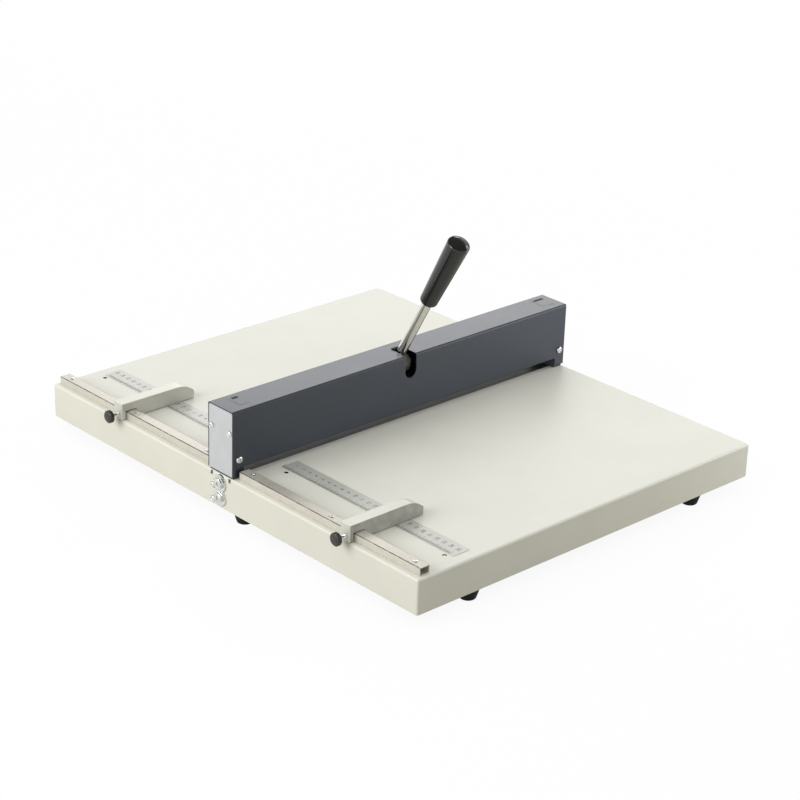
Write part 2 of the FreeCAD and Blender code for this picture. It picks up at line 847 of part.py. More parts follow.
def lever_bumper():
    """Rubber clip on the slot's rear edge, with its face along the rod at rest."""
    inner_top = cover_top - cover_sheet
    high, low = cover_top + bumper_upper_lip, inner_top - bumper_lower_lip
    rear = slot_rear + bumper_grip

    def rod_rear(level):
        """Y of the rod's rear side at a level, with the air gap added."""
        return shaft_y - (level - shaft_z) * math.tan(rest_tilt) + rod_half_depth

    outline = [
        (rod_rear(high), high),
        (rear, high),
        (rear, cover_top),
        (slot_rear, cover_top),
        (slot_rear, inner_top),
        (rear, inner_top),
        (rear, low),
        (rod_rear(low), low),
    ]
    half = bumper_width / 2
    return prism_x(outline, lever_x - half, lever_x + half)


# ---- Lever group ------------------------------------------------------------------------
def along_lever(reach):
    """Point on the lever's axis, so far out from the shaft, at rest."""
    return vec(lever_x, shaft_y, shaft_z) + lever_direction() * reach


def lever_direction():
    return vec(0, -math.sin(rest_tilt), math.cos(rest_tilt))


def flat_places():
    """X of each set screw that bears on the shaft."""
    collar = upright_inside - bush_flange - air_gap - collar_width / 2
    boss = cam_x - cam_width / 2 - cam_boss_width / 2
    return (-collar, -boss, boss, collar)


def camshaft():
    """Turned shaft with flats for the set screws and a cross hole for the hub's pin."""
    reach = upright_outside - shaft_end_gap + air_gap
    shaft = along_x(shaft_radius, -reach, reach, shaft_y, shaft_z)
    ends = [edge for edge in shaft.Edges if isinstance(edge.Curve, Part.Circle)]
    shaft = shaft.makeChamfer(shaft_chamfer, ends)
    half_flat = set_screw_radius + 1
    flat_y = shaft_y + shaft_radius - shaft_flat
    flats = [
        block(x - half_flat, x + half_flat, flat_y, flat_y + shaft_radius,
              shaft_z - shaft_radius, shaft_z + shaft_radius)
        for x in flat_places()
    ]
    return shaft.cut(flats + [hub_pin_bar(hub_pin_radius + seat_gap, 2 * hub_radius)])


def set_screw(x, outer_radius):
    """Grub screw on the rear side, from a collar's or boss's surface to the flat."""
    return along_y(set_screw_radius, shaft_y + shaft_radius - shaft_flat + seat_gap,
                   shaft_y + outer_radius - set_screw_recess, x, shaft_z)


def set_screws():
    radii = (collar_radius, cam_boss_radius, cam_boss_radius, collar_radius)
    return Part.makeCompound([set_screw(x, radius) for x, radius in zip(flat_places(), radii)])


def set_screw_hole(x):
    return along_y(set_screw_radius + seat_gap, shaft_y, shaft_y + 2 * collar_radius, x, shaft_z)


def shaft_collars():
    """Collars that keep the shaft from sliding sideways."""
    collars = []
    for x in (flat_places()[0], flat_places()[-1]):
        near, far = x - collar_width / 2, x + collar_width / 2
        ring = along_x(collar_radius, near, far, shaft_y, shaft_z)
        bore = along_x(shaft_radius + seat_gap, -half_width, half_width, shaft_y, shaft_z)
        collars.append(ring.cut([bore, set_screw_hole(x)]))
    return Part.makeCompound(collars)


def involute_point(roll, x):
    """Point of the cam's involute, at rest; the cam presses at roll = depth / base radius."""
    turn = cam_rest_roll - roll
    y = cam_base_radius * (roll * math.sin(turn) - math.cos(turn))
    z = cam_base_radius * (-roll * math.cos(turn) - math.sin(turn))
    return vec(x, shaft_y + y, shaft_z + z)


def cam_outline(x):
    """Involute flank, tangent back and boss circle as one closed face."""
    first_roll = math.sqrt((cam_boss_radius / cam_base_radius) ** 2 - 1)
    last_roll = cam_full_roll + cam_overrun
    steps = 8
    flank = [
        involute_point(first_roll + (last_roll - first_roll) * step / steps, x)
        for step in range(steps + 1)
    ]
    curve = Part.BSplineCurve()
    curve.interpolate(flank)
    start, tip = flank[0], flank[-1]
    tip_reach = math.hypot(tip.y - shaft_y, tip.z - shaft_z)
    tip_turn = math.atan2(tip.z - shaft_z, tip.y - shaft_y)
    start_turn = math.atan2(start.z - shaft_z, start.y - shaft_y)
    leave_turn = tip_turn % (2 * math.pi) - math.acos(cam_boss_radius / tip_reach)
    middle_turn = (leave_turn + start_turn) / 2

    def on_boss(turn):
        return vec(x, shaft_y + cam_boss_radius * math.cos(turn),
                   shaft_z + cam_boss_radius * math.sin(turn))

    leave = on_boss(leave_turn)
    back = Part.LineSegment(tip, leave)
    boss = Part.Arc(leave, on_boss(middle_turn), start)
    wire = Part.Wire([curve.toShape(), back.toShape(), boss.toShape()])
    return Part.Face(wire), tip


def cam():
    """Left cam: involute plate with a boss on its inner side."""
    outer_x = -cam_x - cam_width / 2
    inner_x = outer_x + cam_width
    face, tip = cam_outline(outer_x)
    plate = face.extrude(vec(cam_width, 0, 0))
    tip_edge = [edge for edge in edges_along(plate, 0)
                if math.hypot(edge.Vertexes[0].Point.y - tip.y, edge.Vertexes[0].Point.z - tip.z) < 1e-3]
    plate = plate.makeFillet(cam_tip_radius, tip_edge)
    boss = along_x(cam_boss_radius, inner_x, inner_x + cam_boss_width, shaft_y, shaft_z)
    bore = along_x(shaft_radius + seat_gap, -half_width, 0, shaft_y, shaft_z)
    return plate.fuse(boss).removeSplitter().cut([bore, set_screw_hole(flat_places()[1])])


def hub_pin_bar(radius, reach):
    """Bar across the hub and shaft, at right angles to the lever."""
    across = vec(0, math.cos(rest_tilt), math.sin(rest_tilt))
    centre = vec(lever_x - hub_pin_offset, shaft_y, shaft_z)
    return cylinder(radius, centre - across * reach, centre + across * reach)


def rod_pin_bar(radius, reach):
    """Bar along X through the hub and the foot of the rod."""
    point = along_lever(rod_pin_reach)
    return along_x(radius, point.x - reach, point.x + reach, point.y, point.z)


def lever_hub():
    """Sleeve on the shaft with a boss that sockets the rod."""
    half = hub_length / 2
    sleeve = along_x(hub_radius, lever_x - half, lever_x + half, shaft_y, shaft_z)
    ends = [edge for edge in sleeve.Edges if isinstance(edge.Curve, Part.Circle)]
    sleeve = sleeve.makeChamfer(shaft_chamfer, ends)
    boss = cylinder(hub_boss_radius, along_lever(0), along_lever(hub_boss_reach))
    bore = along_x(shaft_radius + seat_gap, -half_width, half_width, shaft_y, shaft_z)
    socket = cylinder(rod_radius + seat_gap, along_lever(0), along_lever(2 * hub_boss_reach))
    holes = [
        bore,
        socket,
        hub_pin_bar(hub_pin_radius + seat_gap, 2 * hub_radius),
        rod_pin_bar(rod_pin_radius + seat_gap, 2 * hub_radius),
    ]
    return sleeve.fuse(boss).removeSplitter().cut(holes)


def hub_pins():
    """Pin through hub and shaft, and pin through hub and rod."""
    shaft_pin = hub_pin_bar(hub_pin_radius, hub_radius - 2 * seat_gap)
    rod_pin = rod_pin_bar(rod_pin_radius, hub_length / 2 - shaft_chamfer)
    return Part.makeCompound([shaft_pin, rod_pin])


def lever_rod():
    """Plated rod from the hub into the grip."""
    root = shaft_radius + rod_root_gap
    rod = cylinder(rod_radius, along_lever(root), along_lever(rod_end))
    ends = [edge for edge in rod.Edges if isinstance(edge.Curve, Part.Circle)]
    return rod.makeChamfer(rod_chamfer, ends).cut(rod_pin_bar(rod_pin_radius + seat_gap, hub_radius))


def lever_grip():
    """Tapered grip with a rounded foot and a low crown, moulded over the rod's end."""
    bore = rod_radius + seat_gap
    crown_foot = grip_end - grip_crown_height
    outline = [
        vec(bore, 0, grip_start),
        vec(grip_bottom_radius - grip_edge_radius, 0, grip_start),
        vec(grip_bottom_radius, 0, grip_start + grip_edge_radius),
        vec(grip_top_radius, 0, grip_shoulder),
        vec(grip_crown_radius, 0, crown_foot),
        vec(0, 0, grip_end),
        vec(0, 0, rod_end + seat_gap),
        vec(bore, 0, rod_end + seat_gap),
    ]
    crown_middle = arc_middle(outline[5], outline[4], vec(-1, 0, 0))
    shoulder_middle = arc_middle(outline[3], outline[4], vec(0, 0, -1))
    foot_middle = arc_middle(outline[2], outline[1], vec(0, 0, 1))
    arcs = {1: foot_middle, 3: shoulder_middle, 4: crown_middle}
    edges = []
    for index, point in enumerate(outline):
        following = outline[(index + 1) % len(outline)]
        if index in arcs:
            edges.append(Part.Arc(point, arcs[index], following).toShape())
        else:
            edges.append(Part.LineSegment(point, following).toShape())
    grip = Part.Face(Part.Wire(edges)).revolve(vec(0, 0, 0), vec(0, 0, 1), 360)
    turn = FreeCAD.Rotation(vec(0, 0, 1), lever_direction())
    grip.Placement = FreeCAD.Placement(along_lever(0), turn)
    return grip


# ---- Press group ------------------------------------------------------------------------
def press_bar():
    """Steel bar rebated for the blade, with a guide tongue at each end."""
    half = bar_depth / 2
    rebate = blade_top + seat_gap
    blade_back = blade_thickness / 2
    outline = [
        (-half, bar_top),
        (half, bar_top),
        (half, bar_low),
        (blade_back, bar_low),
        (blade_back, rebate),
        (-half, rebate),
    ]
    bar = prism_x(outline, -bar_end, bar_end)
    tongue_half = guide_width / 2 - slide_gap
    tongue_end = guide_bottom - 2 * slide_gap
    tongues = block(-tongue_end, tongue_end, -tongue_half, tongue_half, tongue_low, bar_top)
    middle = block(-bar_end, bar_end, -half, half, bar_low, bar_top)
    bar = bar.fuse(tongues.cut(middle)).removeSplitter()
    holes = [
        along_y(clamp_screw_radius + seat_gap, -half, half - 1, x, clamp_screw_z)
        for x in clamp_screw_xs()
    ]
    for x, y in pad_screw_places():
        holes.append(along_z(small_screw_radius + seat_gap, bar_top - 7, bar_top + 1, x, y))
    return bar.cut(holes)


def clamp_screw_xs():
    pitch = 2 * bar_end / clamp_screw_count
    return evenly(clamp_screw_count, pitch * (clamp_screw_count - 1))


def crease_blade():
    """Crease rule: hardened strip with a tapered, rounded tip."""
    half, tip_half = blade_thickness / 2, blade_tip_width / 2
    reach = bar_end - blade_end_gap
    shoulder = blade_tip + blade_taper
    corners = [
        (-tip_half, blade_tip + tip_half),
        (-half, shoulder),
        (-half, blade_top),
        (half, blade_top),
        (half, shoulder),
        (tip_half, blade_tip + tip_half),
    ]
    points = [vec(-reach, y, z) for y, z in corners]
    edges = [Part.LineSegment(a, b).toShape() for a, b in zip(points, points[1:])]
    edges.append(Part.Arc(points[-1], vec(-reach, 0, blade_tip), points[0]).toShape())
    blade = Part.Face(Part.Wire(edges)).extrude(vec(2 * reach, 0, 0))
    holes = [along_y(clamp_screw_radius + air_gap, -bar_depth, bar_depth, x, clamp_screw_z)
             for x in clamp_screw_xs()]
    return blade.cut(holes)


def blade_clamp():
    """Strip that holds the blade against the bar, with a chamfered lower edge."""
    reach = bar_end - blade_end_gap
    chamfer = clamp_thickness / 3
    outline = [
        (clamp_back, bar_low),
        (clamp_back, clamp_top),
        (clamp_front, clamp_top),
        (clamp_front, bar_low + chamfer),
        (clamp_front + chamfer, bar_low),
    ]
    holes = [along_y(clamp_screw_radius + seat_gap, -bar_depth, bar_depth, x, clamp_screw_z)
             for x in clamp_screw_xs()]
    return prism_x(outline, -reach, reach).cut(holes)


def blade_clamp_screws():
    length = clamp_thickness + blade_thickness + bar_depth / 4
    screws = [
        round_head_screw(clamp_screw_head_radius, clamp_screw_head, clamp_screw_radius, length,
                         vec(x, clamp_front, clamp_screw_z), vec(0, -1, 0))
        for x in clamp_screw_xs()
    ]
    return Part.makeCompound(screws)


def pad_screw_places():
    return [(side * cam_x + offset, pad_screw_y)
            for side in (-1, 1) for offset in (-pad_screw_spread, pad_screw_spread)]


def wear_pads():
    """Hardened pads that the cams press on."""
    pads = []
    for side in (-1, 1):
        x = side * cam_x
        pad = block(x - pad_length / 2, x + pad_length / 2, -pad_depth / 2, pad_depth / 2,
                    bar_top, pad_top)
        top_edges = edges_where(pad, lambda point: point.z > pad_top - 1e-6)
        pads.append(pad.makeChamfer(pad_chamfer, top_edges))
    holes = [flat_head_hole(small_screw_radius, pad_thickness, vec(x, y, pad_top), vec(0, 0, 1))
             for x, y in pad_screw_places()]
    return Part.makeCompound([pad.cut(holes) for pad in pads])


def wear_pad_screws():
    screws = [flat_head_screw(small_screw_radius, pad_thickness + 6, vec(x, y, pad_top), vec(0, 0, 1))
              for x, y in pad_screw_places()]
    return Part.makeCompound(screws)


def return_springs():
    """Flat-wire coil springs under the guide tongues, in the uprights' pockets."""
    half_high, half_wide = spring_wire_height / 2, spring_wire_width / 2
    low = table_top + guide_floor + half_high
    high = tongue_low - half_high
    helix = Part.makeHelix((high - low) / spring_turns, high - low, spring_radius)
    inner, outer = spring_radius - half_wide, spring_radius + half_wide
    corners = [vec(inner, 0, -half_high), vec(outer, 0, -half_high),
               vec(outer, 0, half_high), vec(inner, 0, half_high)]
    section = Part.makePolygon(corners + corners[:1])
    coil = Part.Wire(helix).makePipeShell([section], True, True)
    coil.translate(vec(-(upright_inside + guide_bottom) / 2, 0, low))
    return both_sides(coil)


# ---- Rails, rulers and stops ------------------------------------------------------------
def rail(side):
    """Thin-walled tube guide along the table's left edge."""
    near, far = sorted((side * rail_inner_end, side * rail_outer_end))
    tube = block(rail_left, rail_right, near, far, table_top, rail_top)
    bore = block(rail_left + rail_wall, rail_right - rail_wall, near - 1, far + 1,
                 table_top + rail_wall, rail_top - rail_wall)
    tube = tube.makeFillet(rail_wall, edges_along(tube, 1))
    holes = [along_z(rail_screw_radius + seat_gap, table_top - 1, rail_top + 1, x, y)
             for x, y in rail_screw_places()]
    return tube.cut([bore] + holes)


def rail_screws():
    screws = [
        round_head_screw(rail_screw_head_radius, rail_screw_head, rail_screw_radius,
                         rail_height + rail_screw_reach, vec(x, y, rail_top), vec(0, 0, 1))
        for x, y in rail_screw_places()
    ]
    return Part.makeCompound(screws)


def rail_nuts():
    nuts = []
    for x, y in rail_screw_places():
        nut = hexagon(nut_flats, nut_height, vec(x, y, under_table), vec(0, 0, -1))
        bore = along_z(rail_screw_radius + seat_gap, under_table - 2 * nut_height, table_top, x, y)
        nuts.append(nut.cut(bore))
    return Part.makeCompound(nuts)


def ruler(side):
    """Thin metal rule on the table under the stop's fence."""
    near, far = sorted((side * ruler_inner_end, side * ruler_outer_end))
    strip = block(ruler_x - ruler_width / 2, ruler_x + ruler_width / 2, near, far,
                  table_top, table_top + ruler_thickness)
    return strip.makeFillet(ruler_corner_radius, edges_along(strip, 2))


def stop_outline(y):
    """Side view of a stop: clamp leg, rail notch with a sloping flank, fence and nose."""
    low, top = table_top + stop_clearance, table_top + stop_height
    right = stop_left + stop_length
    leg_right = stop_left + stop_leg
    notch_top = rail_top + rail_top_gap
    flank_x = rail_right + rail_flank_gap * math.sqrt(2) - rail_top_gap
    flank_foot = flank_x + (notch_top - low)
    arc_start = vec(right - nose_length, y, top)
    arc_end = vec(right, y, table_top + nose_height)
    middle = arc_middle(arc_start, arc_end, vec(1, 0, 0))
    corners = [
        vec(right, y, low),
        vec(flank_foot, y, low),
        vec(flank_x, y, notch_top),
        vec(leg_right, y, notch_top),
        vec(leg_right, y, low),
        vec(stop_left, y, low),
        vec(stop_left, y, top),
        arc_start,
    ]
    edges = [Part.LineSegment(a, b).toShape() for a, b in zip(corners, corners[1:])]
    edges.append(Part.Arc(arc_start, middle, arc_end).toShape())
    edges.append(Part.LineSegment(arc_end, corners[0]).toShape())
    return Part.Face(Part.Wire(edges)), flank_foot


def stop(y):
    """Cast side stop, cored from below between ribs."""
    face, flank_foot = stop_outline(y - stop_thickness / 2)
    body = face.extrude(vec(0, stop_thickness, 0))
    corners = [edge for edge in edges_along(body, 2) if abs(edge.Length - stop_clearance) > 1e-3]
    outer = [edge for edge in corners
             if edge.Vertexes[0].Point.x < stop_left + 1e-6
             or edge.Vertexes[0].Point.x > stop_left + stop_length - 1e-6]
    body = body.makeFillet(stop_edge_radius, outer)
    core_start, core_end = flank_foot, stop_left + stop_length - nose_length
    bay = (core_end - core_start - (core_bays - 1) * core_rib) / core_bays
    half = stop_thickness / 2 - core_wall
    cuts = []
    for index in range(core_bays):
        x = core_start + index * (bay + core_rib)
        pocket = block(x, x + bay, y - half, y + half, table_top,
                       table_top + stop_height - core_wall)
        cuts.append(pocket.makeFillet(stop_edge_radius, edges_along(pocket, 2)))
    axis_z = table_top + clamp_axis_height
    cuts.append(along_x(clamp_rod_radius + turning_gap, stop_left - 1, stop_left + stop_leg + 1,
                        y, axis_z))
    return body.cut(cuts)


def clamp_screw(y):
    """Screw that presses the rail; its outer end is moulded into the knob."""
    axis_z = table_top + clamp_axis_height
    knob_inner = stop_left - knob_stand_off
    end = knob_inner - knob_length / 2
    return along_x(clamp_rod_radius, end, rail_left - air_gap, y, axis_z)


def clamp_knob(y):
    """Fluted knob with a slightly domed face."""
    knob_inner = stop_left - knob_stand_off
    bore = clamp_rod_radius + seat_gap
    deep = knob_length / 2 + seat_gap
    outline = [
        (bore, 0),
        (knob_radius - knob_dome / 2, 0),
        (knob_radius, knob_dome / 2),
        (knob_radius, knob_length - knob_dome),
        (0.82 * knob_radius, knob_length - 0.35 * knob_dome),
        (0.45 * knob_radius, knob_length),
        (0, knob_length),
        (0, deep),
        (bore, deep),
    ]
    base = vec(knob_inner, y, table_top + clamp_axis_height)
    knob = turned(outline, base, vec(-1, 0, 0))
    reach = knob_radius + knob_flute_radius - knob_flute_depth
    flutes = []
    for index in range(knob_flutes):
        turn = 2 * math.pi * index / knob_flutes
        flutes.append(along_x(knob_flute_radius, knob_inner - knob_length - 1, knob_inner + 1,
                              base.y + reach * math.cos(turn), base.z + reach * math.sin(turn)))
    return knob.cut(flutes)


# ---- The whole machine ------------------------------------------------------------------
def all_parts():
    parts = {
        "table_tray": table_tray(),
        "front_stiffener": stiffener(-stiffener_y),
        "rear_stiffener": stiffener(stiffener_y),
        "foot_screws": foot_screws(),
        "foot_nuts": foot_nuts(),
        "bed_casting": bed_casting(),
        "front_die_strip": die_strip(-1),
        "rear_die_strip": die_strip(1),
        "die_screws": die_screws(),
        "left_upright": upright(),
        "right_upright": mirrored(upright()),
        "left_shaft_bush": shaft_bush(),
        "right_shaft_bush": mirrored(shaft_bush()),
        "side_bolts": side_bolts(),
        "side_washers": side_washers(),
        "bracket_screws": bracket_screws(),
        "bridge_cover": cover(),
        "left_end_plate": end_plate(),
        "right_end_plate": mirrored(end_plate()),
        "end_plate_screws": end_plate_screws(),
        "cover_screws": cover_screws(),
        "lever_bumper": lever_bumper(),
        "camshaft": camshaft(),
        "left_cam": cam(),
        "right_cam": mirrored(cam()),
        "set_screws": set_screws(),
        "shaft_collars": shaft_collars(),
        "lever_hub": lever_hub(),
        "hub_pins": hub_pins(),
        "lever_rod": lever_rod(),
        "lever_grip": lever_grip(),
        "press_bar": press_bar(),
        "crease_blade": crease_blade(),
        "blade_clamp": blade_clamp(),
        "blade_clamp_screws": blade_clamp_screws(),
        "wear_pads": wear_pads(),
        "wear_pad_screws": wear_pad_screws(),
        "return_springs": return_springs(),
        "front_rail": rail(-1),
        "rear_rail": rail(1),
        "rail_screws": rail_screws(),
        "rail_nuts": rail_nuts(),
        "front_ruler": ruler(-1),
        "rear_ruler": ruler(1),
        "front_stop_fence": stop(front_stop_y),
        "rear_stop_fence": stop(rear_stop_y),
        "front_clamp_screw": clamp_screw(front_stop_y),
        "rear_clamp_screw": clamp_screw(rear_stop_y),
        "front_clamp_knob": clamp_knob(front_stop_y),
        "rear_clamp_knob": clamp_knob(rear_stop_y),
    }
    names = ("front_left", "front_right", "rear_left", "rear_right", "middle_left", "middle_right")
    for name, (x, y) in zip(names, foot_places()):
        parts["foot_" + name] = foot(x, y)
    return parts


os.makedirs("parts", exist_ok=True)
for node, shape in all_parts().items():
    shape.exportStep("parts/" + node + ".step")
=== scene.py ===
"""Visible model of a desktop paper creasing machine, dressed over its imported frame."""

import json
import logging
import math
from collections.abc import Callable, Sequence
from dataclasses import dataclass, field, replace
from enum import Enum
from typing import Any

import bmesh
import bpy
from mathutils import Matrix, Vector


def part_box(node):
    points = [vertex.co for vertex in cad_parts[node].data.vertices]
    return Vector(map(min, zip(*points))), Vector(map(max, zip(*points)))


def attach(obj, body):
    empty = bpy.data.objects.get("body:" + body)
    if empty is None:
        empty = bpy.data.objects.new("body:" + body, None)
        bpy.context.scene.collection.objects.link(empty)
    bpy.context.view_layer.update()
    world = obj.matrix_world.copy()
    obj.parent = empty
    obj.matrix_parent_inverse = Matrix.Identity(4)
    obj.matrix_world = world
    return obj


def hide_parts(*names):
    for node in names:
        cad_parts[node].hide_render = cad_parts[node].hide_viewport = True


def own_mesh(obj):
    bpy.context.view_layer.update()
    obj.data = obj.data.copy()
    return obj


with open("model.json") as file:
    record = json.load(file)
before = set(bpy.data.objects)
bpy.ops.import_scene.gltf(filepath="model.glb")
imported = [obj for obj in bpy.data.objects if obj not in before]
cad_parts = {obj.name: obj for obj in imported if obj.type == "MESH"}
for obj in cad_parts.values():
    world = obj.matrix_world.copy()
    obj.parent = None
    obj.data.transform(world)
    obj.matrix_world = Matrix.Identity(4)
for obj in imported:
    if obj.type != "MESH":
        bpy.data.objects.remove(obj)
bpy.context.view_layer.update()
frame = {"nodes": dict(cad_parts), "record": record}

SLOTS = {part["node"]: part["material_slot"] for part in frame["record"]["subparts"]}
MM = 0.001
LOG = logging.getLogger("creaser")

Triple = tuple[float, float, float]
Color = tuple[float, float, float]
FaceTest = Callable[[Vector, Vector], bool]


class Axis(Enum):
    """Unit directions that pieces are built or seated along."""

    LEFT = (-1.0, 0.0, 0.0)
    RIGHT = (1.0, 0.0, 0.0)
    FRONT = (0.0, -1.0, 0.0)
    REAR = (0.0, 1.0, 0.0)
    DOWN = (0.0, 0.0, -1.0)
    UP = (0.0, 0.0, 1.0)

    @property
    def vector(self) -> Vector:
        """The direction as a vector."""
        return Vector(self.value)

    def turn(self) -> Matrix:
        """Turn that takes upright to this direction."""
        return Vector(Axis.UP.value).rotation_difference(self.vector).to_matrix().to_4x4()


class Drive(Enum):
    """Recess in a screw's head."""

    CROSS = "cross"
    HEX_SOCKET = "hex socket"
    HEX_HEAD = "dimpled hexagon"


def middle_of(node: str) -> Vector:
    """Middle of a CAD node's box, in millimetres."""
    low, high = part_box(node)
    return (Vector(low) + Vector(high)) / (2 * MM)


def scaled(color: Color, factor: float) -> Color:
    """A colour made lighter or darker."""
    return tuple(channel * factor for channel in color)


# ---- Shader arithmetic -------------------------------------------------------------------
class Scalar:
    """A number that varies over a surface; Python arithmetic on it adds Math nodes."""

    def __init__(self, graph: "Graph", socket: bpy.types.NodeSocket) -> None:
        """Wrap an output socket.

        Args:
            graph: The node tree that the socket belongs to.
            socket: The output that carries the number.
        """
        self.graph = graph
        self.socket = socket

    def _math(self, operation: str, *values: "Scalar | float") -> "Scalar":
        """Add one Math node.

        Args:
            operation: Name of the Math node's operation.
            values: Its inputs in order.

        Returns:
            The node's result.
        """
        node = self.graph.node("ShaderNodeMath", {"operation": operation}, dict(enumerate(values)))
        return Scalar(self.graph, node.outputs[0])

    def __add__(self, other: "Scalar | float") -> "Scalar":
        """Sum."""
        return self._math("ADD", self, other)

    __radd__ = __add__

    def __sub__(self, other: "Scalar | float") -> "Scalar":
        """Difference."""
        return self._math("SUBTRACT", self, other)

    def __rsub__(self, other: float) -> "Scalar":
        """Difference with the number on the left."""
        return self._math("SUBTRACT", other, self)

    def __mul__(self, other: "Scalar | float") -> "Scalar":
        """Product."""
        return self._math("MULTIPLY", self, other)

    __rmul__ = __mul__

    def __abs__(self) -> "Scalar":
        """Size without sign."""
        return self._math("ABSOLUTE", self)

    def __gt__(self, other: "Scalar | float") -> "Scalar":
        """One where this is greater, and zero elsewhere."""
        return self._math("GREATER_THAN", self, other)

    def __lt__(self, other: "Scalar | float") -> "Scalar":
        """One where this is less, and zero elsewhere."""
        return self._math("LESS_THAN", self, other)

    def larger(self, other: "Scalar | float") -> "Scalar":
        """The larger of two numbers."""
        return self._math("MAXIMUM", self, other)

    def smooth(self, low: float, high: float) -> "Scalar":
        """Rise softly from 0 to 1 between two values.

        Args:
            low: Value at which the result is 0.
            high: Value at which the result is 1.

        Returns:
            The smoothed step.
        """
        settings = {"interpolation_type": "SMOOTHSTEP"}
        node = self.graph.node("ShaderNodeMapRange", settings, {0: self, 1: low, 2: high, 3: 0.0, 4: 1.0})
        return Scalar(self.graph, node.outputs[0])


class Graph:
    """A node tree that is filled from expressions."""

    def __init__(self, tree: bpy.types.NodeTree) -> None:
        """Take over a tree and empty it."""
        self.tree = tree
        self.tree.nodes.clear()
        self._place: bpy.types.NodeSocket | None = None

    def node(self, kind: str, settings: dict[str, Any] | None = None,
             inputs: dict[int | str, Any] | None = None) -> bpy.types.Node:
        """Add any node.

        Args:
            kind: Blender's name for the type of node.
            settings: Attributes set first; stops are a ramp's places and colours.
            inputs: Values or links of its sockets, by index or name.

        Returns:
            The new node.
        """
        made = self.tree.nodes.new(kind)
        for name, value in (settings or {}).items():
            if name == "stops":
                self._set_stops(made, value)
            else:
                setattr(made, name, value)
        for key, value in (inputs or {}).items():
            socket = made.inputs[key]
            if isinstance(value, Scalar):
                self.tree.links.new(value.socket, socket)
            elif isinstance(value, bpy.types.NodeSocket):
                self.tree.links.new(value, socket)
            elif socket.type == "RGBA" and len(value) == 3:
                socket.default_value = (*value, 1.0)
            else:
                socket.default_value = value
        return made

    @staticmethod
    def _set_stops(ramp: bpy.types.Node, stops: Sequence[tuple[float, Color]]) -> None:
        """Give a colour ramp its stops, from first to last."""
        elements = ramp.color_ramp.elements
        while len(elements) < len(stops):
            elements.new(0.5)
        for element, (place, color) in zip(elements, stops):
            element.position = place
            element.color = (*color, 1.0)

    def place(self) -> bpy.types.NodeSocket:
        """Coordinates on the object, in metres."""
        if self._place is None:
            self._place = self.node("ShaderNodeTexCoord").outputs["Object"]
        return self._place

    def axes(self, source: bpy.types.NodeSocket | None = None) -> tuple[Scalar, Scalar, Scalar]:
        """The three parts of a vector, by default of the place on the object."""
        split = self.node("ShaderNodeSeparateXYZ", None, {0: source or self.place()})
        return tuple(Scalar(self, output) for output in split.outputs)

    def noise(self, size: float, detail: float = 2.0, draw: Triple = (1.0, 1.0, 1.0)) -> Scalar:
        """Cloudy pattern.

        Args:
            size: Width of one cloud, in millimetres.
            detail: Octaves of finer noise.
            draw: Scale along each axis; a small one draws the pattern out.

        Returns:
            Values round a half.
        """
        where = self.node("ShaderNodeMapping", None, {"Vector": self.place(), "Scale": draw}).outputs[0]
        inputs = {"Vector": where, "Scale": 1.0 / (size * MM), "Detail": detail}
        return Scalar(self, self.node("ShaderNodeTexNoise", None, inputs).outputs[0])

    def grains(self, size: float) -> tuple[Scalar, Scalar]:
        """Cells like grains or flakes.

        Args:
            size: Width of a grain, in millimetres.

        Returns:
            Distance from a grain's middle, and a number of its own for each grain.
        """
        inputs = {"Vector": self.place(), "Scale": 1.0 / (size * MM)}
        cells = self.node("ShaderNodeTexVoronoi", None, inputs)
        shade = self.node("ShaderNodeSeparateColor", None, {0: cells.outputs["Color"]})
        return Scalar(self, cells.outputs["Distance"]), Scalar(self, shade.outputs[0])

    def blend(self, share: Scalar | float, first: Any, second: Any) -> bpy.types.NodeSocket:
        """Mix two colours.

        Args:
            share: How much of the second, from 0 to 1.
            first: Colour or colour socket.
            second: Colour or colour socket.

        Returns:
            The mixed colour's socket.
        """
        settings = {"data_type": "RGBA", "clamp_factor": True}
        return self.node("ShaderNodeMix", settings, {0: share, 6: first, 7: second}).outputs[2]

    def bump(self, height: Scalar, rise: float, strength: float = 1.0) -> bpy.types.NodeSocket:
        """Relief from a height.

        Args:
            height: Height from 0 to 1.
            rise: What a height of 1 stands for, in millimetres.
            strength: Share of the relief that is used.

        Returns:
            The normal's socket.
        """
        inputs = {"Height": height, "Distance": rise * MM, "Strength": strength}
        return self.node("ShaderNodeBump", None, inputs).outputs[0]

    def rays(self, *kinds: str) -> Scalar:
        """One for rays of any of some kinds, and zero for others."""
        path = self.node("ShaderNodeLightPath")
        found = Scalar(self, path.outputs[kinds[0]])
        for kind in kinds[1:]:
            found = found.larger(Scalar(self, path.outputs[kind]))
        return found

    def close(self, shader: bpy.types.Node, kind: str = "ShaderNodeOutputMaterial") -> None:
        """Lead a shader to the tree's output."""
        output = self.node(kind)
        self.tree.links.new(shader.outputs[0], output.inputs[0])


# ---- Finishes ----------------------------------------------------------------------------
@dataclass(frozen=True)
class Finish:
    """What every finish has: a name, a colour and a roughness."""

    label: str
    color: Color
    roughness: float

    def material(self) -> bpy.types.Material:
        """Build the finish's material."""
        made = bpy.data.materials.new(self.label)
        made.use_nodes = True
        graph = Graph(made.node_tree)
        graph.close(graph.node("ShaderNodeBsdfPrincipled", None, self.shade(graph)))
        return made

    def shade(self, graph: Graph) -> dict[str, Any]:
        """Work out the sockets of the principled shader.

        Args:
            graph: The material's node tree.

        Returns:
            Sockets by name.
        """
        raise NotImplementedError

    def shades(self, graph: Graph, share: Scalar | float, low: float, high: float) -> bpy.types.NodeSocket:
        """Vary the finish's colour between two shades of it.

        Args:
            graph: The material's node tree.
            share: How much of the second shade, from 0 to 1.
            low: The first shade, as a factor of the colour.
            high: The second shade.

        Returns:
            The colour's socket.
        """
        return graph.blend(share, scaled(self.color, low), scaled(self.color, high))


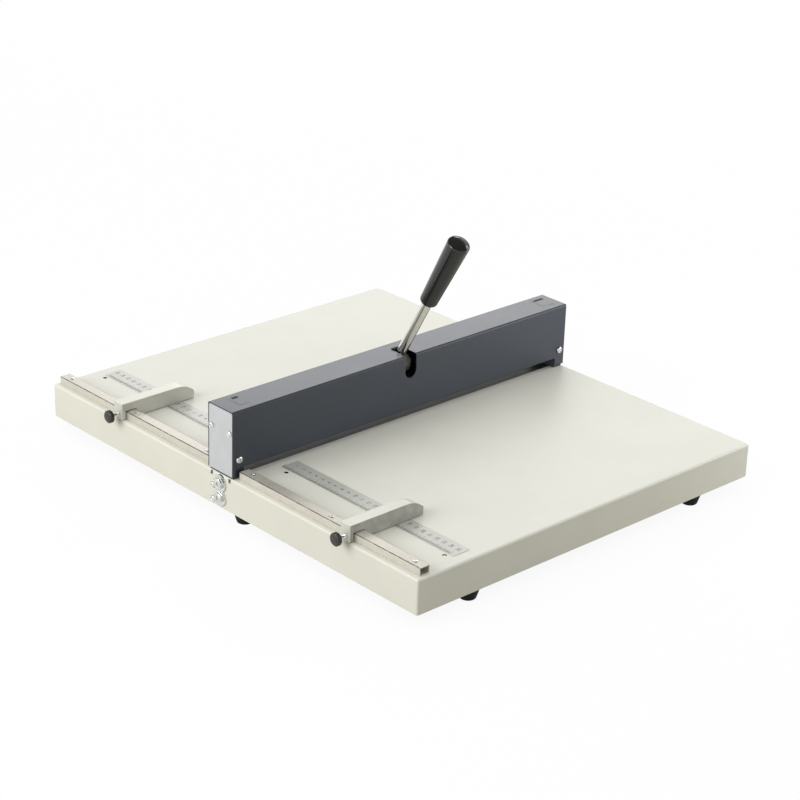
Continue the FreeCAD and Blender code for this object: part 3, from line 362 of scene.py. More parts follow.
@dataclass(frozen=True)
class PowderCoat(Finish):
    """Baked powder paint with a fine orange peel; inside the tray and on the cut edges of its holes it is
    darkened as painted shade.
    """

    # Reach of the tray's inside and the tone of its painted shade, then the reach of the cut edges and the
    # near-black tone of their painted shade.
    inside: Triple = (241.45, 295.45, 48.55)
    inside_tone: float = 0.3
    edges: Triple = (239.0, 293.0, 49.8)
    edge_tone: float = 0.05
    peel: float = 1.3
    peel_rise: float = 0.02

    def shade(self, graph: Graph) -> dict[str, Any]:
        """See Finish."""
        # Masks of the tray's inside and of the cut edges of holes in its top, where painted shade is put.
        inside, edges = (self._within(graph, *reach) for reach in (self.inside, self.edges))
        clouds = graph.noise(70.0, 3.0)
        peel = graph.noise(self.peel, 2.0)
        pits, speck = graph.grains(1.0)
        dust = (speck > 0.992) * (pits < 0.2)
        tone = self.shades(graph, clouds.smooth(0.35, 0.65), 0.98, 1.01)
        tone = graph.blend(dust * 0.3, tone, scaled(self.color, 0.62))
        # Painted shade: dark grey inside the tray, uneven with the peel, and near black on the cut edges.
        thin = self.shades(graph, peel.smooth(0.3, 0.7), self.inside_tone * 0.8, self.inside_tone * 1.2)
        painted_shade = graph.blend(inside, scaled(self.color, self.edge_tone), thin)
        return {
            "Base Color": graph.blend(inside.larger(edges), tone, painted_shade),
            "Roughness": self.roughness + (peel - 0.5) * 0.12 + (clouds - 0.5) * 0.08,
            "Normal": graph.bump(peel + graph.noise(0.35, 1.0) * 0.2, self.peel_rise, 0.35),
            "Specular IOR Level": 0.4,
        }

    @staticmethod
    def _within(graph: Graph, half_width: float, half_depth: float, top: float) -> Scalar:
        """One inside an upright box below a level, and zero elsewhere.

        Args:
            graph: The material's node tree.
            half_width: Reach to each side, in millimetres.
            half_depth: Reach to the front and rear.
            top: The level.

        Returns:
            The mask.
        """
        x, y, z = graph.axes()
        return (abs(x) < half_width * MM) * (abs(y) < half_depth * MM) * (z < top * MM)


@dataclass(frozen=True)
class FlakeEnamel(Finish):
    """Dark stove enamel with fine flake under its gloss."""

    flake: float = 0.4
    metal: float = 0.06
    gloss: float = 0.3
    clear_roughness: float = 0.3

    def shade(self, graph: Graph) -> dict[str, Any]:
        """See Finish."""
        _, tilt = graph.grains(self.flake)
        ripple = graph.noise(2.4, 2.0)
        clouds = graph.noise(60.0, 2.0)
        base = self.shades(graph, tilt.smooth(0.1, 1.0), 0.75, 1.35)
        tone = graph.blend(clouds.smooth(0.3, 0.7) * 0.3, base, scaled(self.color, 1.25))
        return {
            "Base Color": tone,
            "Metallic": self.metal + tilt * 0.1,
            "Roughness": self.roughness + (tilt - 0.5) * 0.14 + (clouds - 0.5) * 0.06,
            "Coat Weight": self.gloss,
            "Coat Roughness": self.clear_roughness,
            "Normal": graph.bump(ripple + tilt * 0.2, 0.012, 0.35),
        }


@dataclass(frozen=True)
class GlossMoulding(Finish):
    """Black moulding with hairline handling marks under its polish."""

    polish: float = 0.15

    def shade(self, graph: Graph) -> dict[str, Any]:
        """See Finish."""
        lines = graph.noise(0.8, 3.0, (1.0, 0.06, 1.0))
        smears = graph.noise(9.0, 2.0)
        return {
            "Base Color": self.shades(graph, smears.smooth(0.4, 0.7) * 0.4, 1.0, 1.9),
            "Roughness": self.roughness + lines.smooth(0.6, 0.72) * 0.08 + smears.smooth(0.45, 0.75) * 0.06,
            "Normal": graph.bump(graph.noise(3.5, 1.0) + lines * 0.12, 0.008, 0.3),
            "Coat Weight": self.polish - smears.smooth(0.5, 0.8) * 0.1,
            "Coat Roughness": 0.05,
        }


@dataclass(frozen=True)
class Rubber(Finish):
    """Moulded rubber, matt and slightly dusty."""

    def shade(self, graph: Graph) -> dict[str, Any]:
        """See Finish."""
        grain = graph.noise(0.5, 3.0)
        bloom = graph.noise(6.0, 3.0)
        return {
            "Base Color": self.shades(graph, bloom.smooth(0.4, 0.75) * 0.4, 1.0, 2.0),
            "Roughness": self.roughness + (grain - 0.5) * 0.2,
            "Normal": graph.bump(grain, 0.04, 0.4),
            "Specular IOR Level": 0.2,
        }


@dataclass(frozen=True)
class Plating(Finish):
    """Electroplated metal with a tint that wanders and fine wipe marks."""

    tint: Color = (0.75, 0.78, 0.84)
    grain: float = 0.4
    draw: Triple = (1.0, 1.0, 1.0)
    metal: float = 1.0

    def shade(self, graph: Graph) -> dict[str, Any]:
        """See Finish."""
        wander = graph.noise(5.0, 2.0)
        lines = graph.noise(self.grain, 2.0, self.draw)
        return {
            "Base Color": graph.blend(wander.smooth(0.35, 0.65), self.color, self.tint),
            "Metallic": self.metal,
            "Roughness": self.roughness + (lines - 0.5) * 0.14 + (wander - 0.5) * 0.06,
            "Normal": graph.bump(lines, 0.006, 0.3),
        }


@dataclass(frozen=True)
class DrawnPlating(Plating):
    """Plating of a drawn rail, with a painted dark reflection along the two folds of its top."""

    middle_x: float = -230.5
    fold: float = 6.1
    fold_width: float = 0.45
    fold_tone: float = 0.16
    top: float = 58.4

    def shade(self, graph: Graph) -> dict[str, Any]:
        """See Finish."""
        sockets = super().shade(graph)
        x, _, z = graph.axes()
        # Painted reflection: a thin dark line along both folds of the top, where the rounded edges would
        # mirror dark surroundings, broken up by noise.
        off = abs(abs(x - self.middle_x * MM) - self.fold * MM)
        line = (off < self.fold_width * MM) * (z > self.top * MM)
        wear = graph.noise(6.0, 3.0).smooth(0.25, 0.55) * 0.5 + 0.5
        painted_fold_reflection = scaled(self.color, self.fold_tone)
        sockets["Base Color"] = graph.blend(line * wear, sockets["Base Color"], painted_fold_reflection)
        return sockets


@dataclass(frozen=True)
class GroundSteel(Finish):
    """Bright steel with the grinding wheel's lines along one axis."""

    lay: Triple = (0.04, 1.0, 1.0)

    def shade(self, graph: Graph) -> dict[str, Any]:
        """See Finish."""
        lines = graph.noise(0.25, 3.0, self.lay)
        stain = graph.noise(14.0, 3.0)
        return {
            "Base Color": self.shades(graph, stain.smooth(0.5, 0.8) * 0.5, 1.0, 0.7),
            "Metallic": 1.0,
            "Roughness": self.roughness + (lines - 0.5) * 0.25,
            "Normal": graph.bump(lines, 0.01, 0.35),
        }


@dataclass(frozen=True)
class CastAlloy(Finish):
    """Light alloy casting, blasted and cloudy on its outer side; the other sides are dressed, and their
    much brighter tone is partly machining and partly painted light.
    """

    outer_y: float = 0.0
    dressed_gain: float = 1.5
    tolerance: float = 0.05

    def shade(self, graph: Graph) -> dict[str, Any]:
        """See Finish."""
        skin = graph.noise(0.8, 4.0)
        clouds = graph.noise(9.0, 4.0)
        hollow, kind = graph.grains(1.1)
        pores = (kind > 0.82) * (1.0 - hollow.smooth(0.05, 0.3))
        tone = self.shades(graph, clouds.smooth(0.35, 0.68), 0.86, 1.05)
        cast = graph.blend(pores * 0.4, tone, scaled(self.color, 0.5))
        cutter = graph.noise(0.3, 2.0, (0.03, 1.0, 1.0))
        # Every side but the outer one is dressed metal made brighter: partly the machined finish, partly
        # painted light on the top and the other sides.
        cut = self.shades(graph, cutter, self.dressed_gain * 0.92, self.dressed_gain * 1.08)
        dressed = abs(graph.axes()[1]) < (self.outer_y - self.tolerance) * MM
        relief = (skin - pores * 0.6) * (1.0 - dressed) + cutter * dressed * 0.3
        return {
            "Base Color": graph.blend(dressed, cast, cut),
            "Metallic": 0.35,
            "Roughness": self.roughness + (skin - 0.5) * 0.2,
            "Normal": graph.bump(relief, 0.05, 0.5),
        }


@dataclass(frozen=True)
class CastIron(Finish):
    """Primed iron casting with a coarse sand skin."""

    def shade(self, graph: Graph) -> dict[str, Any]:
        """See Finish."""
        sand = graph.noise(1.1, 5.0)
        clouds = graph.noise(20.0, 3.0)
        return {
            "Base Color": self.shades(graph, clouds.smooth(0.3, 0.7), 0.75, 1.2),
            "Roughness": self.roughness + (sand - 0.5) * 0.25,
            "Normal": graph.bump(sand, 0.18, 0.6),
        }


@dataclass(frozen=True)
class Bronze(Finish):
    """Sintered bronze with dark pores."""

    def shade(self, graph: Graph) -> dict[str, Any]:
        """See Finish."""
        _, kind = graph.grains(0.22)
        return {
            "Base Color": self.shades(graph, kind > 0.75, 1.0, 0.4),
            "Metallic": 0.9,
            "Roughness": self.roughness + (kind - 0.5) * 0.2,
            "Normal": graph.bump(kind, 0.01, 0.4),
        }


@dataclass(frozen=True)
class BrushedSheet(Finish):
    """Satin sheet or strip with brushing along one axis."""

    metal: float = 0.9
    draw: Triple = (1.0, 0.03, 1.0)

    def shade(self, graph: Graph) -> dict[str, Any]:
        """See Finish."""
        lines = graph.noise(0.22, 2.0, self.draw)
        clouds = graph.noise(18.0, 2.0)
        return {
            "Base Color": self.shades(graph, clouds.smooth(0.3, 0.7), 0.95, 1.0),
            "Metallic": self.metal,
            "Roughness": self.roughness + (lines - 0.5) * 0.2,
            "Normal": graph.bump(lines, 0.006, 0.3),
        }


@dataclass(frozen=True)
class PrintInk(Finish):
    """Screen printed ink, slightly uneven."""

    shine: float = 0.5

    def shade(self, graph: Graph) -> dict[str, Any]:
        """See Finish."""
        weight = graph.noise(0.6, 3.0)
        return {
            "Base Color": self.shades(graph, weight.smooth(0.45, 0.8), 1.0, 1.8),
            "Roughness": self.roughness + (weight - 0.5) * 0.2,
            "Specular IOR Level": self.shine,
        }


FINISHES: dict[str, Finish] = {
    "table_paint": PowderCoat("warm white powder coat", (0.775, 0.766, 0.682), 0.46),
    "cover_paint": FlakeEnamel("blue grey flake enamel", (0.021, 0.028, 0.044), 0.40),
    "plate_metal": BrushedSheet("satin plated sheet", (0.61, 0.62, 0.625), 0.40, draw=(1.0, 1.0, 0.03)),
    "black_rubber": Rubber("black rubber", (0.009, 0.009, 0.010), 0.75),
    "black_plastic": GlossMoulding("gloss black moulding", (0.007, 0.007, 0.006), 0.1),
    "zinc_steel": Plating("bright zinc plate", (0.60, 0.63, 0.63), 0.2, (0.74, 0.74, 0.68)),
    "black_steel": Plating("black oxide steel", (0.034, 0.033, 0.030), 0.5, (0.050, 0.048, 0.042),
                           metal=0.3),
    "chrome_steel": Plating("polished chrome", (0.74, 0.72, 0.66), 0.06, (0.80, 0.77, 0.70), 2.5),
    "nickel_steel": DrawnPlating("satin nickel", (0.64, 0.61, 0.53), 0.44, (0.68, 0.65, 0.57), 0.4,
                                 (1.0, 0.02, 1.0), metal=0.5),
    "bright_steel": GroundSteel("ground steel", (0.55, 0.56, 0.57), 0.32),
    "bed_iron": CastIron("primed iron casting", (0.060, 0.064, 0.070), 0.68),
    "stop_alloy": CastAlloy("blasted alloy casting", (0.45, 0.444, 0.400), 0.42),
    "rule_alloy": BrushedSheet("satin rule strip", (0.58, 0.575, 0.53), 0.40, 0.2),
    "bush_bronze": Bronze("sintered bronze", (0.62, 0.42, 0.20), 0.42),
}
PRINT_INK = PrintInk("rule ink", (0.085, 0.085, 0.088), 0.6)
KNOB_MOULDING = GlossMoulding("satin black moulding", (0.018, 0.017, 0.012), 0.45)
LABEL_FILM = FlakeEnamel("blank label film", (0.018, 0.025, 0.036), 0.40)
LABEL_BAR = PrintInk("label bar ink", (0.022, 0.024, 0.032), 0.6, 0.22)
# Near-black painted shade for the insides of screw recesses.
RECESS_SHADE = PrintInk("shaded recess", (0.012, 0.012, 0.011), 0.55)


class Paints:
    """Materials, each made once and shared by all that wear it."""

    def __init__(self) -> None:
        """Start with nothing mixed."""
        self._made: dict[str, bpy.types.Material] = {}

    def wear(self, piece: bpy.types.Object, *finishes: Finish) -> None:
        """Dress a piece, its first faces in the first finish and marked ones in the next."""
        marks = [face.material_index for face in piece.data.polygons]
        piece.data.materials.clear()
        for finish in finishes:
            if finish.label not in self._made:
                self._made[finish.label] = finish.material()
            piece.data.materials.append(self._made[finish.label])
        piece.data.polygons.foreach_set("material_index", [min(mark, len(finishes) - 1) for mark in marks])


# ---- Modelling ---------------------------------------------------------------------------
class Bench:
    """Blender's operators, each made to act on one piece only."""

    @staticmethod
    def clear() -> None:
        """Leave edit mode and deselect everything."""
        if bpy.context.mode != "OBJECT":
            bpy.ops.object.mode_set(mode="OBJECT")
        bpy.ops.object.select_all(action="DESELECT")

    @classmethod
    def hold(cls, piece: bpy.types.Object) -> None:
        """Select one piece and make it active."""
        cls.clear()
        piece.select_set(True)
        bpy.context.view_layer.objects.active = piece

    @classmethod
    def settled(cls, piece: bpy.types.Object) -> bpy.types.Object:
        """Move a piece's place, turn and scale into its mesh."""
        cls.hold(piece)
        bpy.ops.object.transform_apply(location=True, rotation=True, scale=True)
        return piece

    @classmethod
    def cylinder(cls, radius: float, depth: float, sides: int = 32) -> bpy.types.Object:
        """Add an upright cylinder that stands on the origin.

        Args:
            radius: Radius in millimetres.
            depth: Height in millimetres.
            sides: Number of sides.

        Returns:
            The cylinder.
        """
        cls.clear()
        bpy.ops.mesh.primitive_cylinder_add(vertices=sides, radius=radius * MM, depth=depth * MM,
                                            location=(0.0, 0.0, depth * MM / 2))
        return cls.settled(bpy.context.active_object)

    @classmethod
    def block(cls, size: Triple, middle: Triple) -> bpy.types.Object:
        """Add a block.

        Args:
            size: Width, depth and height in millimetres.
            middle: Its middle in millimetres.

        Returns:
            The block.
        """
        cls.clear()
        bpy.ops.mesh.primitive_cube_add(size=1.0, location=Vector(middle) * MM)
        made = bpy.context.active_object
        made.scale = Vector(size) * MM
        return cls.settled(made)

    @classmethod
    def pick_faces(cls, piece: bpy.types.Object, test: FaceTest) -> None:
        """Enter edit mode with the faces that pass a test selected.

        Args:
            piece: The piece to edit.
            test: Takes a face's middle in millimetres and its normal.
        """
        cls.hold(piece)
        bpy.ops.object.mode_set(mode="EDIT")
        bpy.ops.mesh.select_mode(type="FACE")
        bpy.ops.mesh.select_all(action="DESELECT")
        mesh = bmesh.from_edit_mesh(piece.data)
        for face in mesh.faces:
            face.select_set(test(face.calc_center_median() / MM, face.normal))
        bmesh.update_edit_mesh(piece.data)

    @staticmethod
    def raise_ring(rise: float, spread: float) -> None:
        """Extrude the selected end along Z and widen or narrow it.

        Args:
            rise: Height in millimetres.
            spread: Scale of the new end about the piece's axis.
        """
        bpy.ops.mesh.extrude_region_move(TRANSFORM_OT_translate={"value": (0.0, 0.0, rise * MM)})
        bpy.ops.transform.resize(value=(spread, spread, 1.0), center_override=(0.0, 0.0, 0.0))

    @classmethod
    def combine(cls, piece: bpy.types.Object, tool: bpy.types.Object, operation: str) -> None:
        """Cut a piece with another by a boolean, and discard the other."""
        cls.hold(piece)
        modifier = piece.modifiers.new("cut", "BOOLEAN")
        modifier.operation = operation
        modifier.solver = "EXACT"
        modifier.object = tool
        bpy.ops.object.modifier_apply(modifier=modifier.name)
        bpy.data.objects.remove(tool)

    @classmethod
    def soften(cls, piece: bpy.types.Object, width: float, segments: int = 2, angle: float = 35.0) -> None:
        """Round a piece's sharp edges and shade it smoothly between them.

        Args:
            piece: The piece.
            width: Width of the rounding in millimetres.
            segments: Faces across the rounding.
            angle: Edges sharper than this, in degrees, are rounded.
        """
        cls.hold(piece)
        modifier = piece.modifiers.new("soften", "BEVEL")
        modifier.width = width * MM
        modifier.segments = segments
        modifier.limit_method = "ANGLE"
        modifier.angle_limit = math.radians(angle)
        bpy.ops.object.modifier_apply(modifier=modifier.name)
        bpy.ops.object.shade_smooth_by_angle(angle=math.radians(angle))

    @classmethod
    def repeat(cls, piece: bpy.types.Object, count: int, step: Triple) -> None:
        """Repeat a piece in a row.

        Args:
            piece: The piece.
            count: How many there are in the end.
            step: From one to the next, in millimetres.
        """
        cls.hold(piece)
        modifier = piece.modifiers.new("row", "ARRAY")
        modifier.count = count
        modifier.use_relative_offset = False
        modifier.use_constant_offset = True
        modifier.constant_offset_displace = Vector(step) * MM
        bpy.ops.object.modifier_apply(modifier=modifier.name)

    @classmethod
    def join(cls, pieces: Sequence[bpy.types.Object], name: str) -> bpy.types.Object:
        """Join pieces into one.

        Args:
            pieces: The pieces; the first stays.
            name: Name of the result.

        Returns:
            The joined piece.
        """
        cls.hold(pieces[0])
        for piece in pieces:
            piece.select_set(True)
        if len(pieces) > 1:
            bpy.ops.object.join()
        pieces[0].name = name
        return cls.settled(pieces[0])

    @classmethod
    def copied(cls, master: bpy.types.Object, matrix: Matrix) -> bpy.types.Object:
        """Copy a piece with a mesh of its own, moved into place."""
        twin = master.copy()
        twin.data = master.data.copy()
        twin.data.transform(matrix)
        bpy.context.collection.objects.link(twin)
        return twin


def hand_over(piece: bpy.types.Object, body: str, replaced: str = "") -> None:
    """Tell the frame what a finished piece rides on.

    Args:
        piece: The piece.
        body: The body that it rides on.
        replaced: The CAD node that it takes the place of, if any.
    """
    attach(piece, body)
    if replaced:
        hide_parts(replaced)


# ---- Fasteners ---------------------------------------------------------------------------
# Head radius, head height and shank radius, in millimetres.
PAN_HEAD = (3.5, 2.2, 2.0)
WIDE_PAN_HEAD = (4.0, 2.4, 2.0)
FLAT_HEAD = (2.8, 0.7, 1.5)
SOCKET_HEAD = (4.25, 3.5, 2.5)
LOW_HEXAGON = (6.4, 3.2, 4.0)

# Rise and spread of each ring above the rim, as shares of the head's height and of the ring below.
PAN_RIM, PAN_RINGS = 0.42, ((0.3, 0.9), (0.18, 0.82), (0.1, 0.66))
SOCKET_RIM, SOCKET_RINGS = 0.86, ((0.14, 0.93),)


@dataclass
class Seat:
    """Where a fastener's head rests: a point in millimetres, the way it faces, and its length below."""

    place: Triple
    outward: Axis
    length: float


@dataclass
class Fasteners:
    """Screws or bolts of one kind on one body, in place of a plain CAD node."""

    node: str
    body: str
    head_radius: float
    head_height: float
    shank_radius: float
    seats: list[Seat]
    drive: Drive = Drive.CROSS
    first_roll: float = 20.0
    roll_step: float = 137.5
    pitch_share: float = 0.45
    root: float = 0.88
    tip: float = 0.7

    def head(self) -> bpy.types.Object:
        """Model the head upright, seated on the origin.

        Returns:
            The head, without its recess.
        """
        if self.drive is Drive.HEX_HEAD:
            head = Bench.cylinder(self.head_radius, self.head_height, 6)
            crown = Bench.cylinder(self.head_radius * 1.02, self.head_height * 0.7, 48)
            Bench.pick_faces(crown, lambda middle, normal: normal.z > 0.9)
            Bench.raise_ring(self.head_height * 0.3, 0.82)
            Bench.combine(head, crown, "INTERSECT")
            return head
        socket = self.drive is Drive.HEX_SOCKET
        rim, rings = (SOCKET_RIM, SOCKET_RINGS) if socket else (PAN_RIM, PAN_RINGS)
        head = Bench.cylinder(self.head_radius, self.head_height * rim)
        Bench.pick_faces(head, lambda middle, normal: normal.z > 0.9)
        for rise, spread in rings:
            Bench.raise_ring(self.head_height * rise, spread)
        return head

    def _thread(self, head: bpy.types.Object, length: float) -> None:
        """Draw the shank down from the head, ridge by ridge, to a blunt point.

        Args:
            head: The head.
            length: Length of the shank in millimetres.
        """
        Bench.pick_faces(head, lambda middle, normal: normal.z < -0.9)
        bpy.ops.mesh.inset(thickness=(self.head_radius - self.shank_radius) * MM, depth=0.0)
        pitch = self.shank_radius * self.pitch_share
        ridges = max(2, int(length / pitch) - 1)
        for _ in range(ridges):
            Bench.raise_ring(-pitch / 2, self.root)
            Bench.raise_ring(-pitch / 2, 1 / self.root)
        Bench.raise_ring(-(length - ridges * pitch), self.tip)
        Bench.clear()

    def _cutters(self) -> list[bpy.types.Object]:
        """Shapes that the recess takes out of the head."""
        top = self.head_height * 1.05
        deep = self.head_height * 0.66
        if self.drive is not Drive.CROSS:
            wide, sides = (0.52, 6) if self.drive is Drive.HEX_SOCKET else (0.3, 24)
            key = Bench.cylinder(self.head_radius * wide, deep, sides)
            key.data.transform(Matrix.Translation((0.0, 0.0, (top - deep) * MM)))
            return [key]
        long, thin = self.head_radius * 1.24, self.head_radius * 0.36
        wings = []
        for size in ((long, thin, deep), (thin, long, deep)):
            wing = Bench.block(size, (0.0, 0.0, top - deep / 2))
            Bench.pick_faces(wing, lambda middle, normal: normal.z < -0.9)
            bpy.ops.transform.resize(value=(0.5, 0.5, 1.0), center_override=(0.0, 0.0, 0.0))
            wings.append(wing)
        Bench.clear()
        return wings

    def whole(self, length: float) -> bpy.types.Object:
        """Model one fastener upright with its head's seat on the origin.

        Args:
            length: Length under the head in millimetres.

        Returns:
            The fastener.
        """
        made = self.head()
        self._thread(made, length)
        for cutter in self._cutters():
            Bench.combine(made, cutter, "DIFFERENCE")
        Bench.soften(made, self.head_radius * 0.035)
        # Faces inside the recess take the second finish, a near-black painted shade.
        inner, low, high = self.head_radius * 0.63, self.head_height * 0.05, self.head_height * 0.85
        for face in made.data.polygons:
            middle = face.center / MM
            face.material_index = int(middle.xy.length < inner and low < middle.z < high)
        return made

    def build(self, paints: Paints) -> bpy.types.Object:
        """Model, copy, place and dress the fasteners.

        Args:
            paints: The materials.

        Returns:
            One piece with all of them.
        """
        masters: dict[float, bpy.types.Object] = {}
        copies = []
        for index, seat in enumerate(self.seats):
            if seat.length not in masters:
                masters[seat.length] = self.whole(seat.length)
            roll = Matrix.Rotation(math.radians(self.roll_step * index + self.first_roll), 4, "Z")
            move = Matrix.Translation(Vector(seat.place) * MM) @ seat.outward.turn() @ roll
            copies.append(Bench.copied(masters[seat.length], move))
        for master in masters.values():
            bpy.data.objects.remove(master)
        piece = Bench.join(copies, self.node + "_driven")
        slot = SLOTS[self.node]
        paints.wear(piece, FINISHES[slot], RECESS_SHADE)
        hand_over(piece, self.body, self.node)
        return piece


# ---- Sub-assemblies ----------------------------------------------------------------------
@dataclass
class SubAssembly:
    """A group of CAD nodes that stay, and the pieces that are modelled with them."""

    title: str = ""
    nodes: tuple[str, ...] = ()
    special: dict[str, Finish] = field(default_factory=dict)

    def dress(self, paints: Paints) -> None:
        """Give each CAD node its special finish, or else that of its slot."""
        for name in self.nodes:
            paints.wear(frame["nodes"][name], self.special.get(name, FINISHES[SLOTS[name]]))

    def pieces(self, paints: Paints) -> list[bpy.types.Object]:
        """Build the modelled pieces.

        Args:
            paints: The materials.

        Returns:
            The pieces.
        """
        return []

    def build(self, paints: Paints) -> None:
        """Dress the nodes, build the pieces and report both."""
        self.dress(paints)
        for piece in self.pieces(paints):
            LOG.info("%s: %s, %d faces", self.title, piece.name, len(piece.data.polygons))
        LOG.info("%s: %d nodes dressed", self.title, len(self.nodes))


@dataclass
class Table(SubAssembly):
    """Folded table on its bed and feet."""

    title: str = "table"
    nodes: tuple[str, ...] = (
        "table_tray", "front_stiffener", "rear_stiffener", "bed_casting", "front_die_strip",
        "rear_die_strip", "foot_nuts", "foot_front_left", "foot_front_right", "foot_rear_left",
        "foot_rear_right", "foot_middle_left", "foot_middle_right")
    corner_feet: tuple[str, ...] = (
        "foot_front_left", "foot_front_right", "foot_rear_left", "foot_rear_right")
    side_feet: tuple[str, ...] = ("foot_middle_left", "foot_middle_right")
    screw_seat: float = 6.5
    corner_length: float = 10.4
    side_length: float = 16.5

    def foot_seats(self) -> list[Seat]:
        """Seats of the screws that hold the feet."""
        seats = []
        for feet, length in ((self.corner_feet, self.corner_length), (self.side_feet, self.side_length)):
            for foot in feet:
                middle = middle_of(foot)
                seats.append(Seat((middle.x, middle.y, self.screw_seat), Axis.DOWN, length))
        return seats

    def pieces(self, paints: Paints) -> list[bpy.types.Object]:
        """See SubAssembly."""
        return [Fasteners("foot_screws", "base", *PAN_HEAD, self.foot_seats()).build(paints)]


@dataclass
class BlankLabel:
    """Plain film with one dark bar, without any words, on the top of the cover."""

    name: str
    middle_x: float
    bar_x: float
    top_z: float = 125.0
    film: float = 0.12
    ink: float = 0.03
    size: tuple[float, float] = (13.0, 21.0)
    corner: float = 1.4
    bar_corner: float = 0.3
    bar_size: tuple[float, float] = (8.0, 4.4)
    bar_y: float = 9.2
    middle_y: float = 1.6

    def build(self, paints: Paints) -> list[bpy.types.Object]:
        """Cut and dress the film and its bar.

        Args:
            paints: The materials.

        Returns:
            The film and the bar.
        """
        middle = (self.middle_x, self.middle_y, self.top_z + self.film / 2)
        film = self._tag(self.size, middle, self.film, self.corner)
        film.name = self.name
        middle = (self.bar_x, self.bar_y, self.top_z + self.film + self.ink / 2)
        bar = self._tag(self.bar_size, middle, self.ink, self.bar_corner)
        bar.name = self.name + "_bar"
        for piece, finish in ((film, LABEL_FILM), (bar, LABEL_BAR)):
            paints.wear(piece, finish)
            hand_over(piece, "base")
        return [film, bar]

    @staticmethod
    def _tag(size: tuple[float, float], middle: Triple, thickness: float,
             corner: float) -> bpy.types.Object:
        """Make a thin sheet with rounded corners.

        Args:
            size: Width and depth in millimetres.
            middle: Its middle.
            thickness: Its thickness.
            corner: Radius of its corners.

        Returns:
            The sheet.
        """
        sheet = Bench.block((*size, thickness), middle)
        Bench.pick_faces(sheet, lambda middle, normal: False)
        bpy.ops.mesh.select_mode(type="EDGE")
        mesh = bmesh.from_edit_mesh(sheet.data)
        for edge in mesh.edges:
            run = edge.verts[1].co - edge.verts[0].co
            edge.select_set(abs(run.z) > 0.9 * run.length)
        bmesh.update_edit_mesh(sheet.data)
        bpy.ops.mesh.bevel(offset=corner * MM, segments=5)
        Bench.clear()
        return sheet


@dataclass
class Bridge(SubAssembly):
    """Uprights with their cover, end plates and bolts."""

    title: str = "bridge"
    nodes: tuple[str, ...] = ("left_upright", "right_upright", "left_shaft_bush", "right_shaft_bush",
                              "side_washers", "bridge_cover", "left_end_plate", "right_end_plate",
                              "lever_bumper", "die_screws")
    half_width: float = 243.0
    half_depth: float = 20.0
    cover_screw: tuple[float, float] = (235.0, 71.0)
    end_screw: tuple[float, float] = (14.65, 100.5)
    bracket_y: float = 12.2
    bracket_zs: tuple[float, ...] = (34.0, 18.0)
    bolt_zs: tuple[float, ...] = (40.0, 24.0)
    washer: float = 1.6
    cover_reach: float = 9.0
    plate_reach: float = 9.0
    bracket_reach: float = 10.0
    bolt_reach: float = 34.0
    ends: tuple[tuple[int, Axis], ...] = ((-1, Axis.LEFT), (1, Axis.RIGHT))
    faces: tuple[tuple[int, Axis], ...] = ((-1, Axis.FRONT), (1, Axis.REAR))

    def screws(self) -> list[Fasteners]:
        """The bridge's sets of screws and bolts."""
        x, z = self.cover_screw
        cover = [Seat((end * x, face * self.half_depth, z), axis, self.cover_reach)
                 for end, _ in self.ends for face, axis in self.faces]
        y, z = self.end_screw
        plate = [Seat((end * self.half_width, side * y, z), axis, self.plate_reach)
                 for end, axis in self.ends for side in (-1, 1)]
        bracket = [Seat((end * self.half_width, self.bracket_y, level), axis, self.bracket_reach)
                   for end, axis in self.ends for level in self.bracket_zs]
        reach = self.half_width + self.washer
        bolts = [Seat((end * reach, 0.0, level), axis, self.bolt_reach)
                 for end, axis in self.ends for level in self.bolt_zs]
        return [
            Fasteners("cover_screws", "base", *WIDE_PAN_HEAD, cover),
            Fasteners("end_plate_screws", "base", *PAN_HEAD, plate),
            Fasteners("bracket_screws", "base", *PAN_HEAD, bracket),
            Fasteners("side_bolts", "base", *LOW_HEXAGON, bolts, Drive.HEX_HEAD, roll_step=17.0),
        ]

    def pieces(self, paints: Paints) -> list[bpy.types.Object]:
        """See SubAssembly."""
        made = [screws.build(paints) for screws in self.screws()]
        made += BlankLabel("left_blank_label", -218.0, -217.4).build(paints)
        right = BlankLabel("right_blank_label", 226.0, 226.5, size=(18.0, 21.0), bar_size=(15.0, 4.4))
        made += right.build(paints)
        return made


